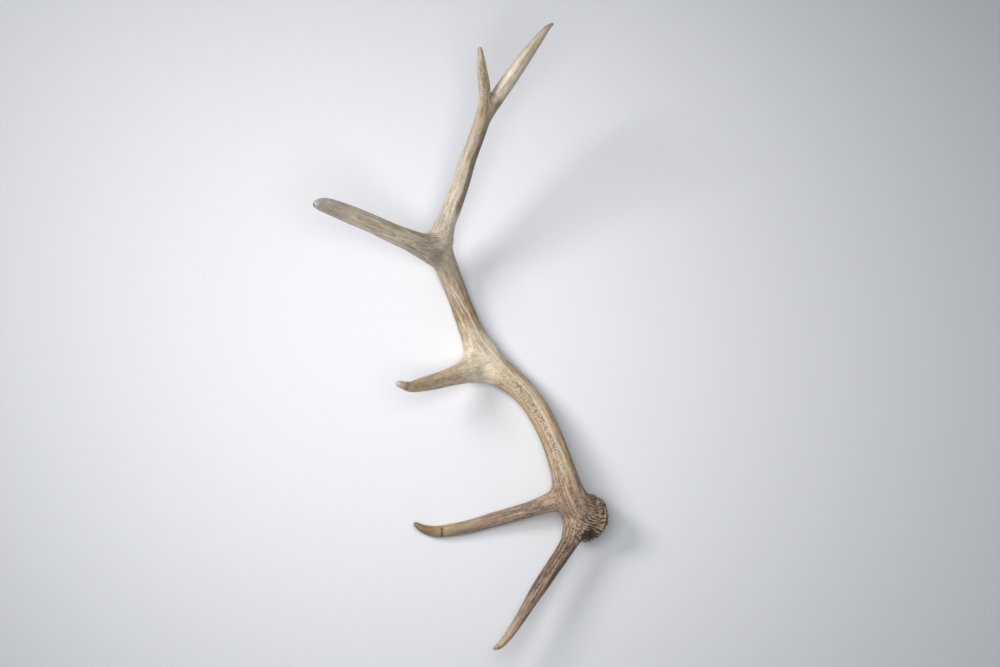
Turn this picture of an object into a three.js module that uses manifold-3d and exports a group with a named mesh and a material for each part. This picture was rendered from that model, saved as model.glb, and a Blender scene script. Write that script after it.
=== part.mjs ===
import * as THREE from 'three';
import { mergeVertices } from 'three/addons/utils/BufferGeometryUtils.js';
import Module from 'manifold-3d';

/*
 * A shed antler of a large stag, lying on its outer side. Millimetres, +Z up.
 *
 * Growth frame: the origin is the centre of the burr, +Y runs up the beam, -X is the front,
 * where the tines grow, and +Z is the side that the tips curve towards. Every stem is a row of
 * stations [x, y, z, half width, half depth]: the width is measured in the XY plane, across
 * the stem, and the depth is measured across both the stem and the width.
 */

// Sections of the stems
const SECTION_SIDES = 14;
const RING_STEP = 15;
const TIP_RINGS = 2;

// Burr: the knobbly crown around the base, and the convex face where it came off the skull
const BURR_RADIUS = 44;
const BURR_SEGMENTS = 30;
const BURR_OUTWARD = new THREE.Vector3(0.74, -0.29, -0.60).normalize();
const BURR_PROFILE = [
  [0, -22],
  [25, -22],
  [31, -13],
  [37, -8],
  [42.5, -4.5],
  [BURR_RADIUS, 0],
  [42.5, 4.5],
  [38, 6.5],
  [32, 5.5],
  [27, 7.5],
  [17, 10.5],
  [0, 12],
];

// The beam, from the burr to the fork at its top
const BEAM = [
  [-6, 3, 4, 33, 33],
  [-24, 20, 19, 31, 32],
  [-40, 52, 25, 28.5, 28],
  [-51, 93, 21, 23.8, 24],
  [-69, 146, 8, 21.6, 22],
  [-94, 197, -4, 22, 22],
  [-124, 237, -10, 22, 22],
  [-160, 268, -11, 23.5, 21.5],
  [-190, 299, -12, 25.2, 20.5],
  [-213, 333, -16, 23.6, 20.5],
  [-233, 380, -20, 21, 21],
  [-249, 420, -17, 21, 20.5],
  [-265, 461, -2, 23, 20],
  [-278, 505, 20, 22.4, 19.5],
  [-270, 544, 38, 19, 18.5],
  [-255, 582, 51, 17.2, 17],
  [-240, 622, 62, 16, 16.5],
  [-226, 663, 74, 15.2, 16],
  [-211, 701, 83, 14.5, 16.5],
  [-200, 732, 91, 14.7, 18],
];

// The tines, each from inside the beam to its tip
const BROW_TINE = [
  [-19, 11, 18, 29, 29],
  [-28, -12, 26, 22, 23],
  [-39, -37, 35, 16.8, 18],
  [-53, -59, 44, 15, 16],
  [-71, -83, 55, 14.4, 15],
  [-92, -111, 69, 13.8, 13.8],
  [-112, -139, 83, 11.8, 12],
  [-132, -168, 99, 9.6, 10],
  [-151, -193, 112, 8.2, 8.5],
  [-167, -210, 120, 6.3, 6.6],
  [-177, -215, 124, 3.9, 4.2],
];
const BEZ_TINE = [
  [-30, 38, 24, 25, 24],
  [-54, 38, 24, 22, 21],
  [-79, 31, 22, 17.5, 17.5],
  [-108, 21, 20, 14.9, 15],
  [-145, 10, 20, 14.1, 14],
  [-186, -1, 22, 13.6, 13.6],
  [-223, -11, 28, 12.6, 12.6],
  [-260, -17, 36, 11.6, 11.6],
  [-287, -18, 44, 10.3, 10.3],
  [-309, -12, 52, 7.9, 8],
  [-322, -3, 57, 5, 5],
];
const TREZ_TINE = [
  [-183, 285, -10, 26, 20],
  [-213, 280, 4, 24.5, 19.5],
  [-234, 275, 25, 21, 18.5],
  [-258, 267, 54, 17, 16.5],
  [-284, 260, 82, 14.9, 14.9],
  [-308, 255, 110, 12.8, 13],
  [-327, 252, 136, 9.6, 10],
  [-343, 257, 156, 6, 6.5],
];
const ROYAL_TINE = [
  [-272, 490, 14, 22, 19],
  [-292, 500, 34, 25, 20],
  [-313, 508, 62, 22.4, 20],
  [-333, 516, 90, 19.6, 19.5],
  [-352, 523, 110, 18, 18.8],
  [-372, 531, 130, 17.2, 18],
  [-393, 540, 154, 16.4, 17],
  [-428, 553, 194, 16, 16],
  [-458, 563, 232, 14, 14],
  [-471, 565, 250, 11.2, 11.2],
  [-476, 565, 258, 8, 8],
];
const FRONT_FORK_TINE = [
  [-203, 724, 89, 14.2, 15],
  [-197, 749, 101, 12.7, 14],
  [-195, 769, 113, 10.8, 12],
  [-197, 790, 124, 9.6, 10.5],
  [-200, 810, 135, 8, 8.6],
  [-202, 830, 146, 5.6, 6],
  [-204, 849, 155, 3.4, 3.6],
];
const REAR_FORK_TINE = [
  [-203, 724, 87, 12.7, 14],
  [-188, 750, 94, 13.4, 14],
  [-175, 771, 99, 13, 13.5],
  [-160, 793, 104, 13, 13],
  [-142, 818, 109, 12.5, 12.5],
  [-121, 847, 114, 11.1, 11.2],
  [-100, 874, 119, 7.9, 8.2],
  [-86, 892, 122, 5.2, 5.4],
  [-77, 900, 124, 2.8, 2.9],
];

// Cuts between the pieces: [stem, place counted in stations], each as wide as a fine saw blade
const KERF = 0.3;
const KERF_REACH = 1.3;
const CUTS = [
  [BROW_TINE, 2.45],
  [BEZ_TINE, 2.05],
  [BEAM, 2.7],
  [BEAM, 6.75],
  [TREZ_TINE, 2.5],
  [BEAM, 11.4],
  [ROYAL_TINE, 2.4],
  [FRONT_FORK_TINE, 2.7],
  [REAR_FORK_TINE, 2.6],
];

// Pieces: [name, stem, place well inside the piece, colour, roughness]
const PIECES = [
  ['burr_base', BEAM, 1.5, 0x6f5d4b, 0.85],
  ['brow_tine', BROW_TINE, 6, 0x75644f, 0.7],
  ['bez_tine', BEZ_TINE, 6, 0x816b4c, 0.65],
  ['lower_beam', BEAM, 5, 0x9c835e, 0.65],
  ['trez_tine', TREZ_TINE, 5, 0x9a8059, 0.6],
  ['middle_beam', BEAM, 9.5, 0xa58c66, 0.65],
  ['royal_tine', ROYAL_TINE, 6, 0x83735f, 0.6],
  ['upper_beam', BEAM, 16, 0xa18b6a, 0.65],
  ['front_fork_tine', FRONT_FORK_TINE, 4, 0x94805f, 0.55],
  ['rear_fork_tine', REAR_FORK_TINE, 5, 0xc0ae8d, 0.5],
];

// Resting turn: the antler lies on its burr, its bez tine and the bow of its beam
const LAY_ROLL = THREE.MathUtils.degToRad(-13.62);
const LAY_PITCH = THREE.MathUtils.degToRad(8.25);

const wasm = await Module();
wasm.setup();

/** Smooth line through the stations, and the half width and half depth along it. */
function stemCurves(stations) {
  const places = stations.map(([x, y, z]) => new THREE.Vector3(x, y, z));
  const sizes = stations.map(([, , , width, depth]) => new THREE.Vector3(width, depth, 0));
  return {
    line: new THREE.CatmullRomCurve3(places, false, 'catmullrom'),
    size: new THREE.CatmullRomCurve3(sizes, false, 'catmullrom'),
    last: stations.length - 1,
  };
}

/** Centre, axes and half sizes of the section at a place counted in stations. */
function sectionAt({ line, size, last }, place) {
  const centre = line.getPoint(place / last);
  const along = line.getTangent(place / last);
  const across = new THREE.Vector3(0, 0, 1).cross(along).normalize();
  const deep = along.clone().cross(across);
  const half = size.getPoint(place / last);
  return { centre, along, across, deep, width: half.x, depth: half.y };
}

/** Oval ring of points: `shift` moves it along the stem and `scale` shrinks it. */
function ring(section, shift, scale) {
  const points = [];
  for (let i = 0; i < SECTION_SIDES; i += 1) {
    const turn = (2 * Math.PI * i) / SECTION_SIDES;
    points.push(
      section.centre
        .clone()
        .addScaledVector(section.along, shift)
        .addScaledVector(section.across, scale * section.width * Math.cos(turn))
        .addScaledVector(section.deep, scale * section.depth * Math.sin(turn)),
    );
  }
  return points;
}

/** Closed stem through the stations, flat at its root and rounded at its tip. */
function stemGeometry(stations) {
  const curves = stemCurves(stations);
  const rings = [];
  for (let i = 0; i < curves.last; i += 1) {
    const from = curves.line.getPoint(i / curves.last);
    const to = curves.line.getPoint((i + 1) / curves.last);
    const steps = Math.max(1, Math.round(from.distanceTo(to) / RING_STEP));
    for (let step = 0; step < steps; step += 1) {
      rings.push(ring(sectionAt(curves, i + step / steps), 0, 1));
    }
  }
  const end = sectionAt(curves, curves.last);
  for (let i = 0; i <= TIP_RINGS; i += 1) {
    const lift = (Math.PI / 2) * (i / (TIP_RINGS + 1));
    rings.push(ring(end, end.width * Math.sin(lift), Math.cos(lift)));
  }
  const root = sectionAt(curves, 0).centre;
  const tip = end.centre.clone().addScaledVector(end.along, end.width);
  const points = [...rings.flat(), root, tip];
  const rootIndex = points.length - 2;
  const tipIndex = points.length - 1;
  const lastRing = (rings.length - 1) * SECTION_SIDES;
  const faces = [];
  for (let i = 0; i < SECTION_SIDES; i += 1) {
    const next = (i + 1) % SECTION_SIDES;
    faces.push(rootIndex, next, i);
    faces.push(tipIndex, lastRing + i, lastRing + next);
    for (let start = 0; start < lastRing; start += SECTION_SIDES) {
      const above = start + SECTION_SIDES;
      faces.push(start + i, start + next, above + next);
      faces.push(start + i, above + next, above + i);
    }
  }
  const geometry = new THREE.BufferGeometry().setFromPoints(points);
  geometry.setIndex(faces);
  return geometry;
}

/** Burr, turned about its outward direction, with its centre at the origin. */
function burrGeometry() {
  const profile = BURR_PROFILE.map(([radius, height]) => new THREE.Vector2(radius, height));
  const geometry = new THREE.LatheGeometry(profile, BURR_SEGMENTS);
  const turn = new THREE.Quaternion().setFromUnitVectors(new THREE.Vector3(0, 1, 0), BURR_OUTWARD);
  return geometry.applyQuaternion(turn);
}

/** Thin slab across a stem, just larger than the section it cuts through. */
function kerfGeometry([stations, place]) {
  const section = sectionAt(stemCurves(stations), place);
  const width = 2 * KERF_REACH * section.width;
  const depth = 2 * KERF_REACH * section.depth;
  const axes = new THREE.Matrix4().makeBasis(section.across, section.deep, section.along);
  return new THREE.BoxGeometry(width, depth, KERF).applyMatrix4(axes.setPosition(section.centre));
}

/** Solid for joining and cutting, from a closed geometry. */
function toSolid(geometry) {
  const bare = geometry.clone();
  bare.deleteAttribute('normal');
  bare.deleteAttribute('uv');
  const merged = mergeVertices(bare);
  const index = merged.index.array;
  const kept = [];
  for (let i = 0; i < index.length; i += 3) {
    const [a, b, c] = [index[i], index[i + 1], index[i + 2]];
    if (a !== b && b !== c && c !== a) {
      kept.push(a, b, c);
    }
  }
  return new wasm.Manifold(
    new wasm.Mesh({
      numProp: 3,
      vertProperties: new Float32Array(merged.attributes.position.array),
      triVerts: new Uint32Array(kept),
    }),
  );
}

/** Geometry of a finished solid. */
function toGeometry(solid) {
  const mesh = solid.getMesh();
  const geometry = new THREE.BufferGeometry();
  geometry.setAttribute('position', new THREE.BufferAttribute(mesh.vertProperties, 3));
  geometry.setIndex(new THREE.BufferAttribute(mesh.triVerts, 1));
  geometry.computeVertexNormals();
  return geometry;
}

/** Distance from a point to the nearest corner of a geometry. */
function distanceTo(geometry, point) {
  const positions = geometry.attributes.position;
  const corner = new THREE.Vector3();
  let nearest = Infinity;
  for (let i = 0; i < positions.count; i += 1) {
    nearest = Math.min(nearest, corner.fromBufferAttribute(positions, i).distanceTo(point));
  }
  return nearest;
}

/** The whole antler as one solid, sawn into its pieces. */
function pieceGeometries() {
  const stems = [BEAM, BROW_TINE, BEZ_TINE, TREZ_TINE, ROYAL_TINE, FRONT_FORK_TINE, REAR_FORK_TINE];
  let antler = toSolid(burrGeometry());
  for (const stem of stems) {
    antler = antler.add(toSolid(stemGeometry(stem)));
  }
  for (const cut of CUTS) {
    antler = antler.subtract(toSolid(kerfGeometry(cut)));
  }
  return antler.decompose().map(toGeometry);
}

const cutPieces = pieceGeometries();
const growth = new THREE.Group();
for (const [name, stem, place, color, roughness] of PIECES) {
  const { centre } = sectionAt(stemCurves(stem), place);
  const distances = cutPieces.map((geometry) => distanceTo(geometry, centre));
  const geometry = cutPieces[distances.indexOf(Math.min(...distances))];
  const material = new THREE.MeshStandardMaterial({ color, roughness, metalness: 0 });
  const mesh = new THREE.Mesh(geometry, material);
  mesh.name = name;
  growth.add(mesh);
}
growth.rotation.set(LAY_PITCH, LAY_ROLL, 0);

// The origin is the middle of the underside of the lying antler's box
const box = new THREE.Box3().setFromObject(growth, true);
const middle = box.getCenter(new THREE.Vector3());
growth.position.set(-middle.x, -middle.y, -box.min.z);

const group = new THREE.Group();
group.add(growth);

export default group;
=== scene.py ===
"""Shed antler of a large stag, lying on its outer side on a pale floor.

The skin is grown in the antler's own growth frame, in millimetres: the origin is the centre of the
burr, +Y runs up the beam, -X is the front, where the tines grow, and +Z is the side that the tips
curve to. It is then laid down, sawn where the tines leave the beam and handed over in metres.
"""

import logging
import math
from dataclasses import dataclass, field
from enum import Enum
from functools import partial, reduce

import bmesh
import bpy
import numpy as np
from mathutils import Matrix, Vector


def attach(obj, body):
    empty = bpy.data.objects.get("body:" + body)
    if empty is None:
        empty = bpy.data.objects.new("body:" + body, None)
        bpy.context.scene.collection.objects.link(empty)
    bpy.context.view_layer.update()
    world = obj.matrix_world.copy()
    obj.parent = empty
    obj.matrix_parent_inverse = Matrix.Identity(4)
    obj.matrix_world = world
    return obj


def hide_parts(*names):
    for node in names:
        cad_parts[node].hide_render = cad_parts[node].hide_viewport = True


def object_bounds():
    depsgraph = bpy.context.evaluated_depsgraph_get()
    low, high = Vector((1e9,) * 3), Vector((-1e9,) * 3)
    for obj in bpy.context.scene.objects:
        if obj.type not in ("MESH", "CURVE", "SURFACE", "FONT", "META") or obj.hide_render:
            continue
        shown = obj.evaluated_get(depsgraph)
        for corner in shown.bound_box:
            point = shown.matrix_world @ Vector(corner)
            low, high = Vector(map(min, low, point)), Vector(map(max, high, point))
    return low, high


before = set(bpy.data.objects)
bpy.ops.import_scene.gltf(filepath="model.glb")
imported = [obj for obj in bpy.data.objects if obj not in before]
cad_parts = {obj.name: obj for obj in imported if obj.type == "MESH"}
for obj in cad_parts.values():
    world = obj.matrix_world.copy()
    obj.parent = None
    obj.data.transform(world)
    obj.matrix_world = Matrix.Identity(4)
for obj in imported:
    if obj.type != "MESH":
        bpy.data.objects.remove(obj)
cad_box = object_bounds()

log = logging.getLogger("antler")

Array = np.ndarray
MM = 0.001
FAR = 1000.0
BATCH = 20000
BODY = "root"

# How the growth frame lies on the floor
LAY_ROLL = math.radians(-13.62)
LAY_PITCH = math.radians(8.25)
LAY_SHIFT = Vector((252.9157, -325.3941, 39.9958))

# Side of the antler that faces the front, the tips and the lamp, where the bone is palest: partly its
# own paler front and partly painted light, with painted shade on the side that faces away
PALE_AND_LIT_SIDE = np.array([-0.93, 0.34, 0.10])


class Tone(Enum):
    """Colours of the bone, in sRGB."""

    IVORY = (229, 219, 199)
    CREAM = (213, 197, 172)
    PALE_TAN = (196, 176, 144)
    GOLD_TAN = (183, 155, 112)
    OLIVE_TAN = (158, 139, 104)
    OLIVE_BROWN = (136, 114, 80)
    PINK_TAN = (196, 174, 153)
    ROSE_TAN = (184, 157, 134)
    HAZEL = (163, 140, 117)
    PALE_TAUPE = (184, 169, 151)
    PINK_BROWN = (158, 132, 111)
    TAUPE = (146, 129, 112)
    GREY_BROWN = (118, 100, 84)
    UMBER = (88, 68, 50)
    DARK_UMBER = (52, 38, 27)
    SLATE = (112, 108, 106)
    PALE_SLATE = (164, 159, 152)
    BARE_BONE = (206, 194, 174)

    @property
    def linear(self) -> tuple[float, float, float]:
        """The colour in linear light."""
        shares = (channel / 255 for channel in self.value)
        return tuple(s / 12.92 if s <= 0.04045 else ((s + 0.055) / 1.055) ** 2.4 for s in shares)


class Slot(Enum):
    """Material slots of the antler."""

    BURR = "burr_bone"
    BROW = "brow_bone"
    BROWN = "brown_bone"
    TAN = "tan_bone"
    TAUPE = "taupe_bone"
    IVORY = "ivory_bone"


def unit(vectors: Array) -> Array:
    """Vectors scaled to a length of 1."""
    return vectors / np.maximum(np.linalg.norm(vectors, axis=-1, keepdims=True), 1e-12)


def step(low: float, high: float, value: Array) -> Array:
    """Smooth rise from 0 at low to 1 at high."""
    share = np.clip((value - low) / (high - low), 0.0, 1.0)
    return share * share * (3.0 - 2.0 * share)


def bell(distance: Array, width: float) -> Array:
    """Smooth hump that is 1 at no distance and fades out over width."""
    return np.exp(-0.5 * (distance / width) ** 2)


# ---------------------------------------------------------------------------------------------
# Noise


def lattice_bits(cells: Array, seed: int) -> Array:
    """Scrambles whole lattice places into 32 random bits each.

    Args:
        cells: whole numbers, three for each place.
        seed: picks another pattern.

    Returns:
        One unsigned number for each place.
    """
    x, y, z = (cells[..., i].astype(np.uint32) for i in range(3))
    bits = x * np.uint32(374761393) + y * np.uint32(668265263) + z * np.uint32(2246822519)
    bits = bits + np.uint32(seed * 2654435761 % 2**32)
    for shift, factor in ((15, 2246822519), (13, 3266489917)):
        bits = (bits ^ (bits >> np.uint32(shift))) * np.uint32(factor)
    return bits ^ (bits >> np.uint32(16))


def random_vectors(cells: Array, seed: int) -> Array:
    """Three random numbers from 0 to 1 for each lattice place."""
    bits = lattice_bits(cells, seed)
    thirds = [(bits >> np.uint32(shift)) & np.uint32(1023) for shift in (0, 10, 20)]
    return np.stack(thirds, axis=-1) / 1023.0


def waves(points: Array, seed: int) -> Array:
    """Gradient noise with one wave in each unit of length.

    Args:
        points: places to read it at.
        seed: picks another pattern.

    Returns:
        Values from about -1 to 1.
    """
    base = np.floor(points)
    offset = points - base
    cells = base.astype(np.int64)
    fade = offset**3 * (offset * (offset * 6.0 - 15.0) + 10.0)
    total = np.zeros(len(points))
    for corner in np.ndindex(2, 2, 2):
        gradient = random_vectors(cells + corner, seed) * 2.0 - 1.0
        share = np.prod(np.where(np.array(corner), fade, 1.0 - fade), axis=1)
        total += share * np.einsum("ij,ij->i", gradient, offset - corner)
    return total * 1.5


def beads(points: Array, seed: int) -> tuple[Array, Array]:
    """Random beads, about one in each unit cube.

    Args:
        points: places to read them at.
        seed: picks another pattern.

    Returns:
        The distance to the nearest bead's middle, and how far the place is from the seam
        between that bead and the next one.
    """
    cells = np.floor(points).astype(np.int64)
    near = np.full(len(points), 9.0)
    second = near.copy()
    for corner in np.ndindex(3, 3, 3):
        cell = cells + np.array(corner) - 1
        middle = cell + 0.15 + 0.7 * random_vectors(cell, seed)
        distance = np.linalg.norm(points - middle, axis=1)
        second = np.minimum(second, np.maximum(near, distance))
        near = np.minimum(near, distance)
    return near, second - near


# ---------------------------------------------------------------------------------------------
# Surfaces as arrays


@dataclass
class Surface:
    """A mesh held as arrays: its vertices in millimetres, and faces of one kind."""

    places: Array
    faces: Array

    def normals(self) -> Array:
        """Unit vector out of the surface at each vertex, larger faces counting for more."""
        corners = self.places[self.faces]
        last = self.faces.shape[1] - 1
        crossed = np.cross(corners[:, 2] - corners[:, 0], corners[:, last] - corners[:, last - 2])
        return unit(self.gathered(np.repeat(crossed[:, None], last + 1, axis=1), self.faces))

    def gathered(self, values: Array, owners: Array) -> Array:
        """Adds up vectors for the vertices that own them."""
        count = len(self.places)
        flat, index = values.reshape(-1, 3), owners.ravel()
        return np.stack([np.bincount(index, flat[:, i], count) for i in range(3)], axis=1)

    def edges(self) -> Array:
        """Pairs of neighbouring vertices, each pair once."""
        pairs = np.stack([self.faces, np.roll(self.faces, -1, axis=1)], axis=-1).reshape(-1, 2)
        return np.unique(np.sort(pairs, axis=1), axis=0)

    def averaged(self, values: Array, edges: Array) -> Array:
        """Mean of each vertex's neighbours."""
        count = np.bincount(edges.ravel(), minlength=len(self.places))
        sums = self.gathered(values[edges[:, ::-1]], edges)
        return sums / np.maximum(count, 1)[:, None]

    def to_mesh(self, name: str) -> bpy.types.Mesh:
        """Blender mesh with these vertices and faces."""
        mesh = bpy.data.meshes.new(name)
        mesh.from_pydata(self.places.tolist(), [], self.faces.tolist())
        return mesh


def wall(side: int, sides: int, rings: int) -> list[tuple[int, ...]]:
    """Faces of one side of a tube, from its first ring of vertices to its last."""
    near, far = side, (side + 1) % sides
    starts = range(0, (rings - 1) * sides, sides)
    return [(low + near, low + far, low + sides + far, low + sides + near) for low in starts]


def surface_of(mesh: bpy.types.Mesh) -> Surface:
    """Arrays of a mesh whose faces all have the same number of corners."""
    places = np.empty(len(mesh.vertices) * 3)
    mesh.vertices.foreach_get("co", places)
    corners = np.empty(len(mesh.loops), np.int32)
    mesh.loops.foreach_get("vertex_index", corners)
    sides = len(mesh.loops) // len(mesh.polygons)
    return Surface(places.reshape(-1, 3), corners.reshape(-1, sides).astype(np.int64))


def fused(mesh: bpy.types.Mesh, grain: float, rounding: int) -> Surface:
    """Fuses closed meshes into one even skin of quads.

    Args:
        mesh: the closed meshes, which may run through each other.
        grain: length of the new faces.
        rounding: how often the faces are split and rounded first.

    Returns:
        The skin.
    """
    shape = bpy.data.objects.new("fusing", mesh)
    bpy.context.scene.collection.objects.link(shape)
    if rounding:
        shape.modifiers.new("round", "SUBSURF").levels = rounding
    fusing = shape.modifiers.new("fuse", "REMESH")
    fusing.mode = "VOXEL"
    fusing.voxel_size = grain
    depsgraph = bpy.context.evaluated_depsgraph_get()
    result = bpy.data.meshes.new_from_object(shape.evaluated_get(depsgraph))
    skin = surface_of(result)
    bpy.data.objects.remove(shape)
    bpy.data.meshes.remove(result)
    bpy.data.meshes.remove(mesh)
    return skin


# ---------------------------------------------------------------------------------------------
# Stems: the beam and the tines


@dataclass(frozen=True)
class Band:
    """How a stem looks at one place; between two bands the looks change evenly.

    The place is counted in stations. The gutters run lengthwise, the pearls are round, and both
    are given by their strength. The contrast is how much crests pale and troughs darken. The pale
    lit side and the dark shaded side are the tones of the skin that faces the lamp and the front
    and of the skin that faces away: partly the bone's own tones and partly painted light and shade.
    """

    place: float
    pale_lit_side: Tone
    dark_shaded_side: Tone
    gutter: float
    pearl: float
    contrast: float
    polish: float


@dataclass(frozen=True)
class Strip:
    """Pearled patch between two places on a stem and two turns round it, in degrees.

    The tone covers the ground by the share in cover.
    """

    places: tuple[float, float]
    turns: tuple[float, float]
    height: float
    tone: Tone
    cover: float


@dataclass(frozen=True)
class Ridge:
    """Thin line along a stem, through (place, turn round it in degrees).

    Its height and half width are in millimetres. A groove has a height and a paleness below 0.
    """

    path: tuple[tuple[float, float], ...]
    height: float
    width: float
    paleness: float


@dataclass(frozen=True)
class Ring:
    """Crease or collar round a stem: a crease has a height below 0, in millimetres.

    The slant and the width are counted in stations, and the turns are in degrees.
    """

    place: float
    slant: float
    height: float
    width: float
    darkness: float
    turns: tuple[float, float]


@dataclass
class Local:
    """Where the points near one stem are as seen from it, and which points they are."""

    index: Array
    place: Array
    run: Array
    across: Array
    deep: Array
    turn: Array
    radius: Array
    distance: Array
    outward: Array

    @property
    def flow(self) -> Array:
        """Coordinates that run across, deep and along the stem."""
        return np.stack([self.across, self.deep, self.run], axis=1)

    def chosen(self, keep: Array) -> "Local":
        """Only those of the points that are to be kept."""
        return Local(**{name: getattr(self, name)[keep] for name in Local.__dataclass_fields__})


@dataclass(frozen=True)
class Section:
    """Centres, axes and half sizes of a stem's sections, and millimetres to a station there."""

    centre: Array
    along: Array
    across: Array
    deep: Array
    half: Array
    speed: Array


@dataclass
class Stem:
    """A beam or tine.

    Each station is (x, y, z, half width, half depth), in millimetres: the width is measured in
    the XY plane, across the stem, and the depth across both the stem and the width. The other
    fields that shape it:

    - fillets: how far the filling of its root's crotch reaches above and below the stem.
    - fillet_fade: how far apart two skins face, as one less their dot product, for full filling.
    - bare_back: from where the root has no filling to where it has all of it, by how far the
      stem faces the back.
    - shade_span: from where the skin takes its dark shaded-side tone to where it takes its pale
      lit-side tone, by how far it faces the pale, lit side: painted light and shade over the
      bone's own tones.
    - lean: how many stations later the bands start at a turn of 180 degrees than at 0.
    - near: how far from the stem's middle line a point may be to count.
    """

    name: str
    stations: tuple[tuple[float, ...], ...]
    bands: tuple[Band, ...]
    fillets: tuple[float, float] = (0.0, 0.0)
    fillet_fade: float = 0.85
    strips: tuple[Strip, ...] = ()
    ridges: tuple[Ridge, ...] = ()
    rings: tuple[Ring, ...] = ()
    seed: int = 0
    shade_span: tuple[float, float] = (-0.75, 0.65)
    lean: float = 0.0
    bare_back: tuple[float, float] | None = None
    sides: int = 28
    tip_rings: int = 3
    sample_gap: float = 4.0
    near: float = 95.0
    samples: Array = field(init=False, repr=False)
    lengths: Array = field(init=False, repr=False)

    def __post_init__(self) -> None:
        """Spaces sample places evenly along the stem."""
        dense = np.linspace(0, self.last, 40 * self.last + 1)
        centres = self.sections(dense).centre
        gaps = np.linalg.norm(np.diff(centres, axis=0), axis=1)
        reached = np.concatenate([[0.0], np.cumsum(gaps)])
        count = int(reached[-1] / self.sample_gap) + 2
        self.lengths = np.linspace(0, reached[-1], count)
        self.samples = np.interp(self.lengths, reached, dense)

    @property
    def last(self) -> int:
        """Place of the last station."""
        return len(self.stations) - 1

    def sections(self, place: Array) -> Section:
        """Sections at places counted in stations, on a smooth line through them all."""
        points = np.array(self.stations)
        ends = (2 * points[:1] - points[1:2], 2 * points[-1:] - points[-2:-1])
        padded = np.concatenate([ends[0], points, ends[1]])
        index = np.clip(np.floor(place).astype(int), 0, self.last - 1)
        t = (place - index)[:, None]
        before, start, end, after = (padded[index + i] for i in range(4))
        leave, arrive = (end - before) / 2, (after - start) / 2
        bend = 2 * start - 2 * end + leave + arrive
        sway = -3 * start + 3 * end - 2 * leave - arrive
        value = start + t * (leave + t * (sway + t * bend))
        slope = leave + t * (2 * sway + 3 * t * bend)
        along = unit(slope[:, :3])
        across = unit(np.cross([0.0, 0.0, 1.0], along))
        deep = np.cross(along, across)
        speed = np.linalg.norm(slope[:, :3], axis=1)
        return Section(value[:, :3], along, across, deep, value[:, 3:5], speed)

    def locate(self, points: Array) -> Local:
        """Finds the points near the stem along, round and away from it.

        Args:
            points: places in the growth frame.

        Returns:
            Their coordinates as seen from this stem.
        """
        index, nearest = self.nearest_sample(points)
        points, place = points[index], self.samples[nearest]
        for _ in range(2):
            at = self.sections(place)
            ahead = np.einsum("ij,ij->i", points - at.centre, at.along)
            place = np.clip(place + ahead / at.speed, 0, self.last)
        at = self.sections(place)
        offset = points - at.centre
        across, deep, ahead = (
            np.einsum("ij,ij->i", offset, axis) for axis in (at.across, at.deep, at.along)
        )
        width, depth = at.half.T
        over = np.where(place >= self.last, np.maximum(ahead, 0), 0)
        rho = np.sqrt((across / width) ** 2 + (deep / depth) ** 2 + (over / width) ** 2)
        reach = np.sqrt(across**2 + deep**2 + over**2)
        rho = np.maximum(rho, 1e-3)
        distance = reach * (1 - 1 / rho)
        under = np.where(place <= 0, np.maximum(-ahead, 0), 0)
        outward = unit(
            at.across * (across / width**2)[:, None]
            + at.deep * (deep / depth**2)[:, None]
            + at.along * (over / width**2)[:, None]
        )
        return Local(
            index=index,
            place=place,
            run=np.interp(place, self.samples, self.lengths) + over,
            across=across,
            deep=deep,
            turn=np.degrees(np.arctan2(deep / depth, across / width)) % 360,
            radius=reach / rho,
            distance=np.maximum(distance, under),
            outward=outward,
        )

    def nearest_sample(self, points: Array) -> tuple[Array, Array]:
        """Finds which points are near the stem, and the sample place nearest to each of them."""
        centres = self.sections(self.samples).centre
        low, high = centres.min(axis=0) - self.near, centres.max(axis=0) + self.near
        index = np.flatnonzero(((points > low) & (points < high)).all(axis=1))
        squares = np.sum(centres**2, axis=1)
        found = np.empty(len(index), np.int64)
        for start in range(0, len(index), BATCH):
            batch = points[index[start : start + BATCH]]
            found[start : start + BATCH] = np.argmin(squares - 2 * batch @ centres.T, axis=1)
        close = np.linalg.norm(points[index] - centres[found], axis=1) < self.near
        return index[close], found[close]

    def band_values(self, place: Array, name: str) -> Array:
        """A strength or share of the bands, read at places along the stem."""
        stops = [band.place for band in self.bands]
        return np.interp(place, stops, [getattr(band, name) for band in self.bands])

    def band_colours(self, place: Array, name: str) -> Array:
        """A colour of the bands, read at places along the stem."""
        stops = [band.place for band in self.bands]
        colours = np.array([getattr(band, name).linear for band in self.bands])
        return np.stack([np.interp(place, stops, channel) for channel in colours.T], axis=1)

    def tube(self) -> tuple[Array, list[tuple[int, ...]]]:
        """Closed tube round the stem, flat at its root and rounded at its tip.

        Returns:
            Its vertices and its faces.
        """
        at = self.sections(self.samples)
        turns = np.arange(self.sides) * (2 * math.pi / self.sides)
        rings = [
            at.centre[i]
            + np.outer(np.cos(turns), at.across[i] * at.half[i, 0])
            + np.outer(np.sin(turns), at.deep[i] * at.half[i, 1])
            for i in range(len(self.samples))
        ]
        last = rings[-1] - at.centre[-1]
        rise = at.along[-1] * at.half[-1, 0]
        for lift in np.linspace(0, math.pi / 2, self.tip_rings + 2)[1:-1]:
            rings.append(at.centre[-1] + rise * math.sin(lift) + last * math.cos(lift))
        faces: list[tuple[int, ...]] = [tuple(reversed(range(self.sides)))]
        top = (len(rings) - 1) * self.sides
        for side in range(self.sides):
            faces += wall(side, self.sides, len(rings))
            faces.append((top + side, top + (side + 1) % self.sides, top + self.sides))
        return np.vstack([*rings, at.centre[-1] + rise]), faces


# ---------------------------------------------------------------------------------------------
# Burr: the knobbly crown round the base, and the face where it came off the skull


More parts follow.
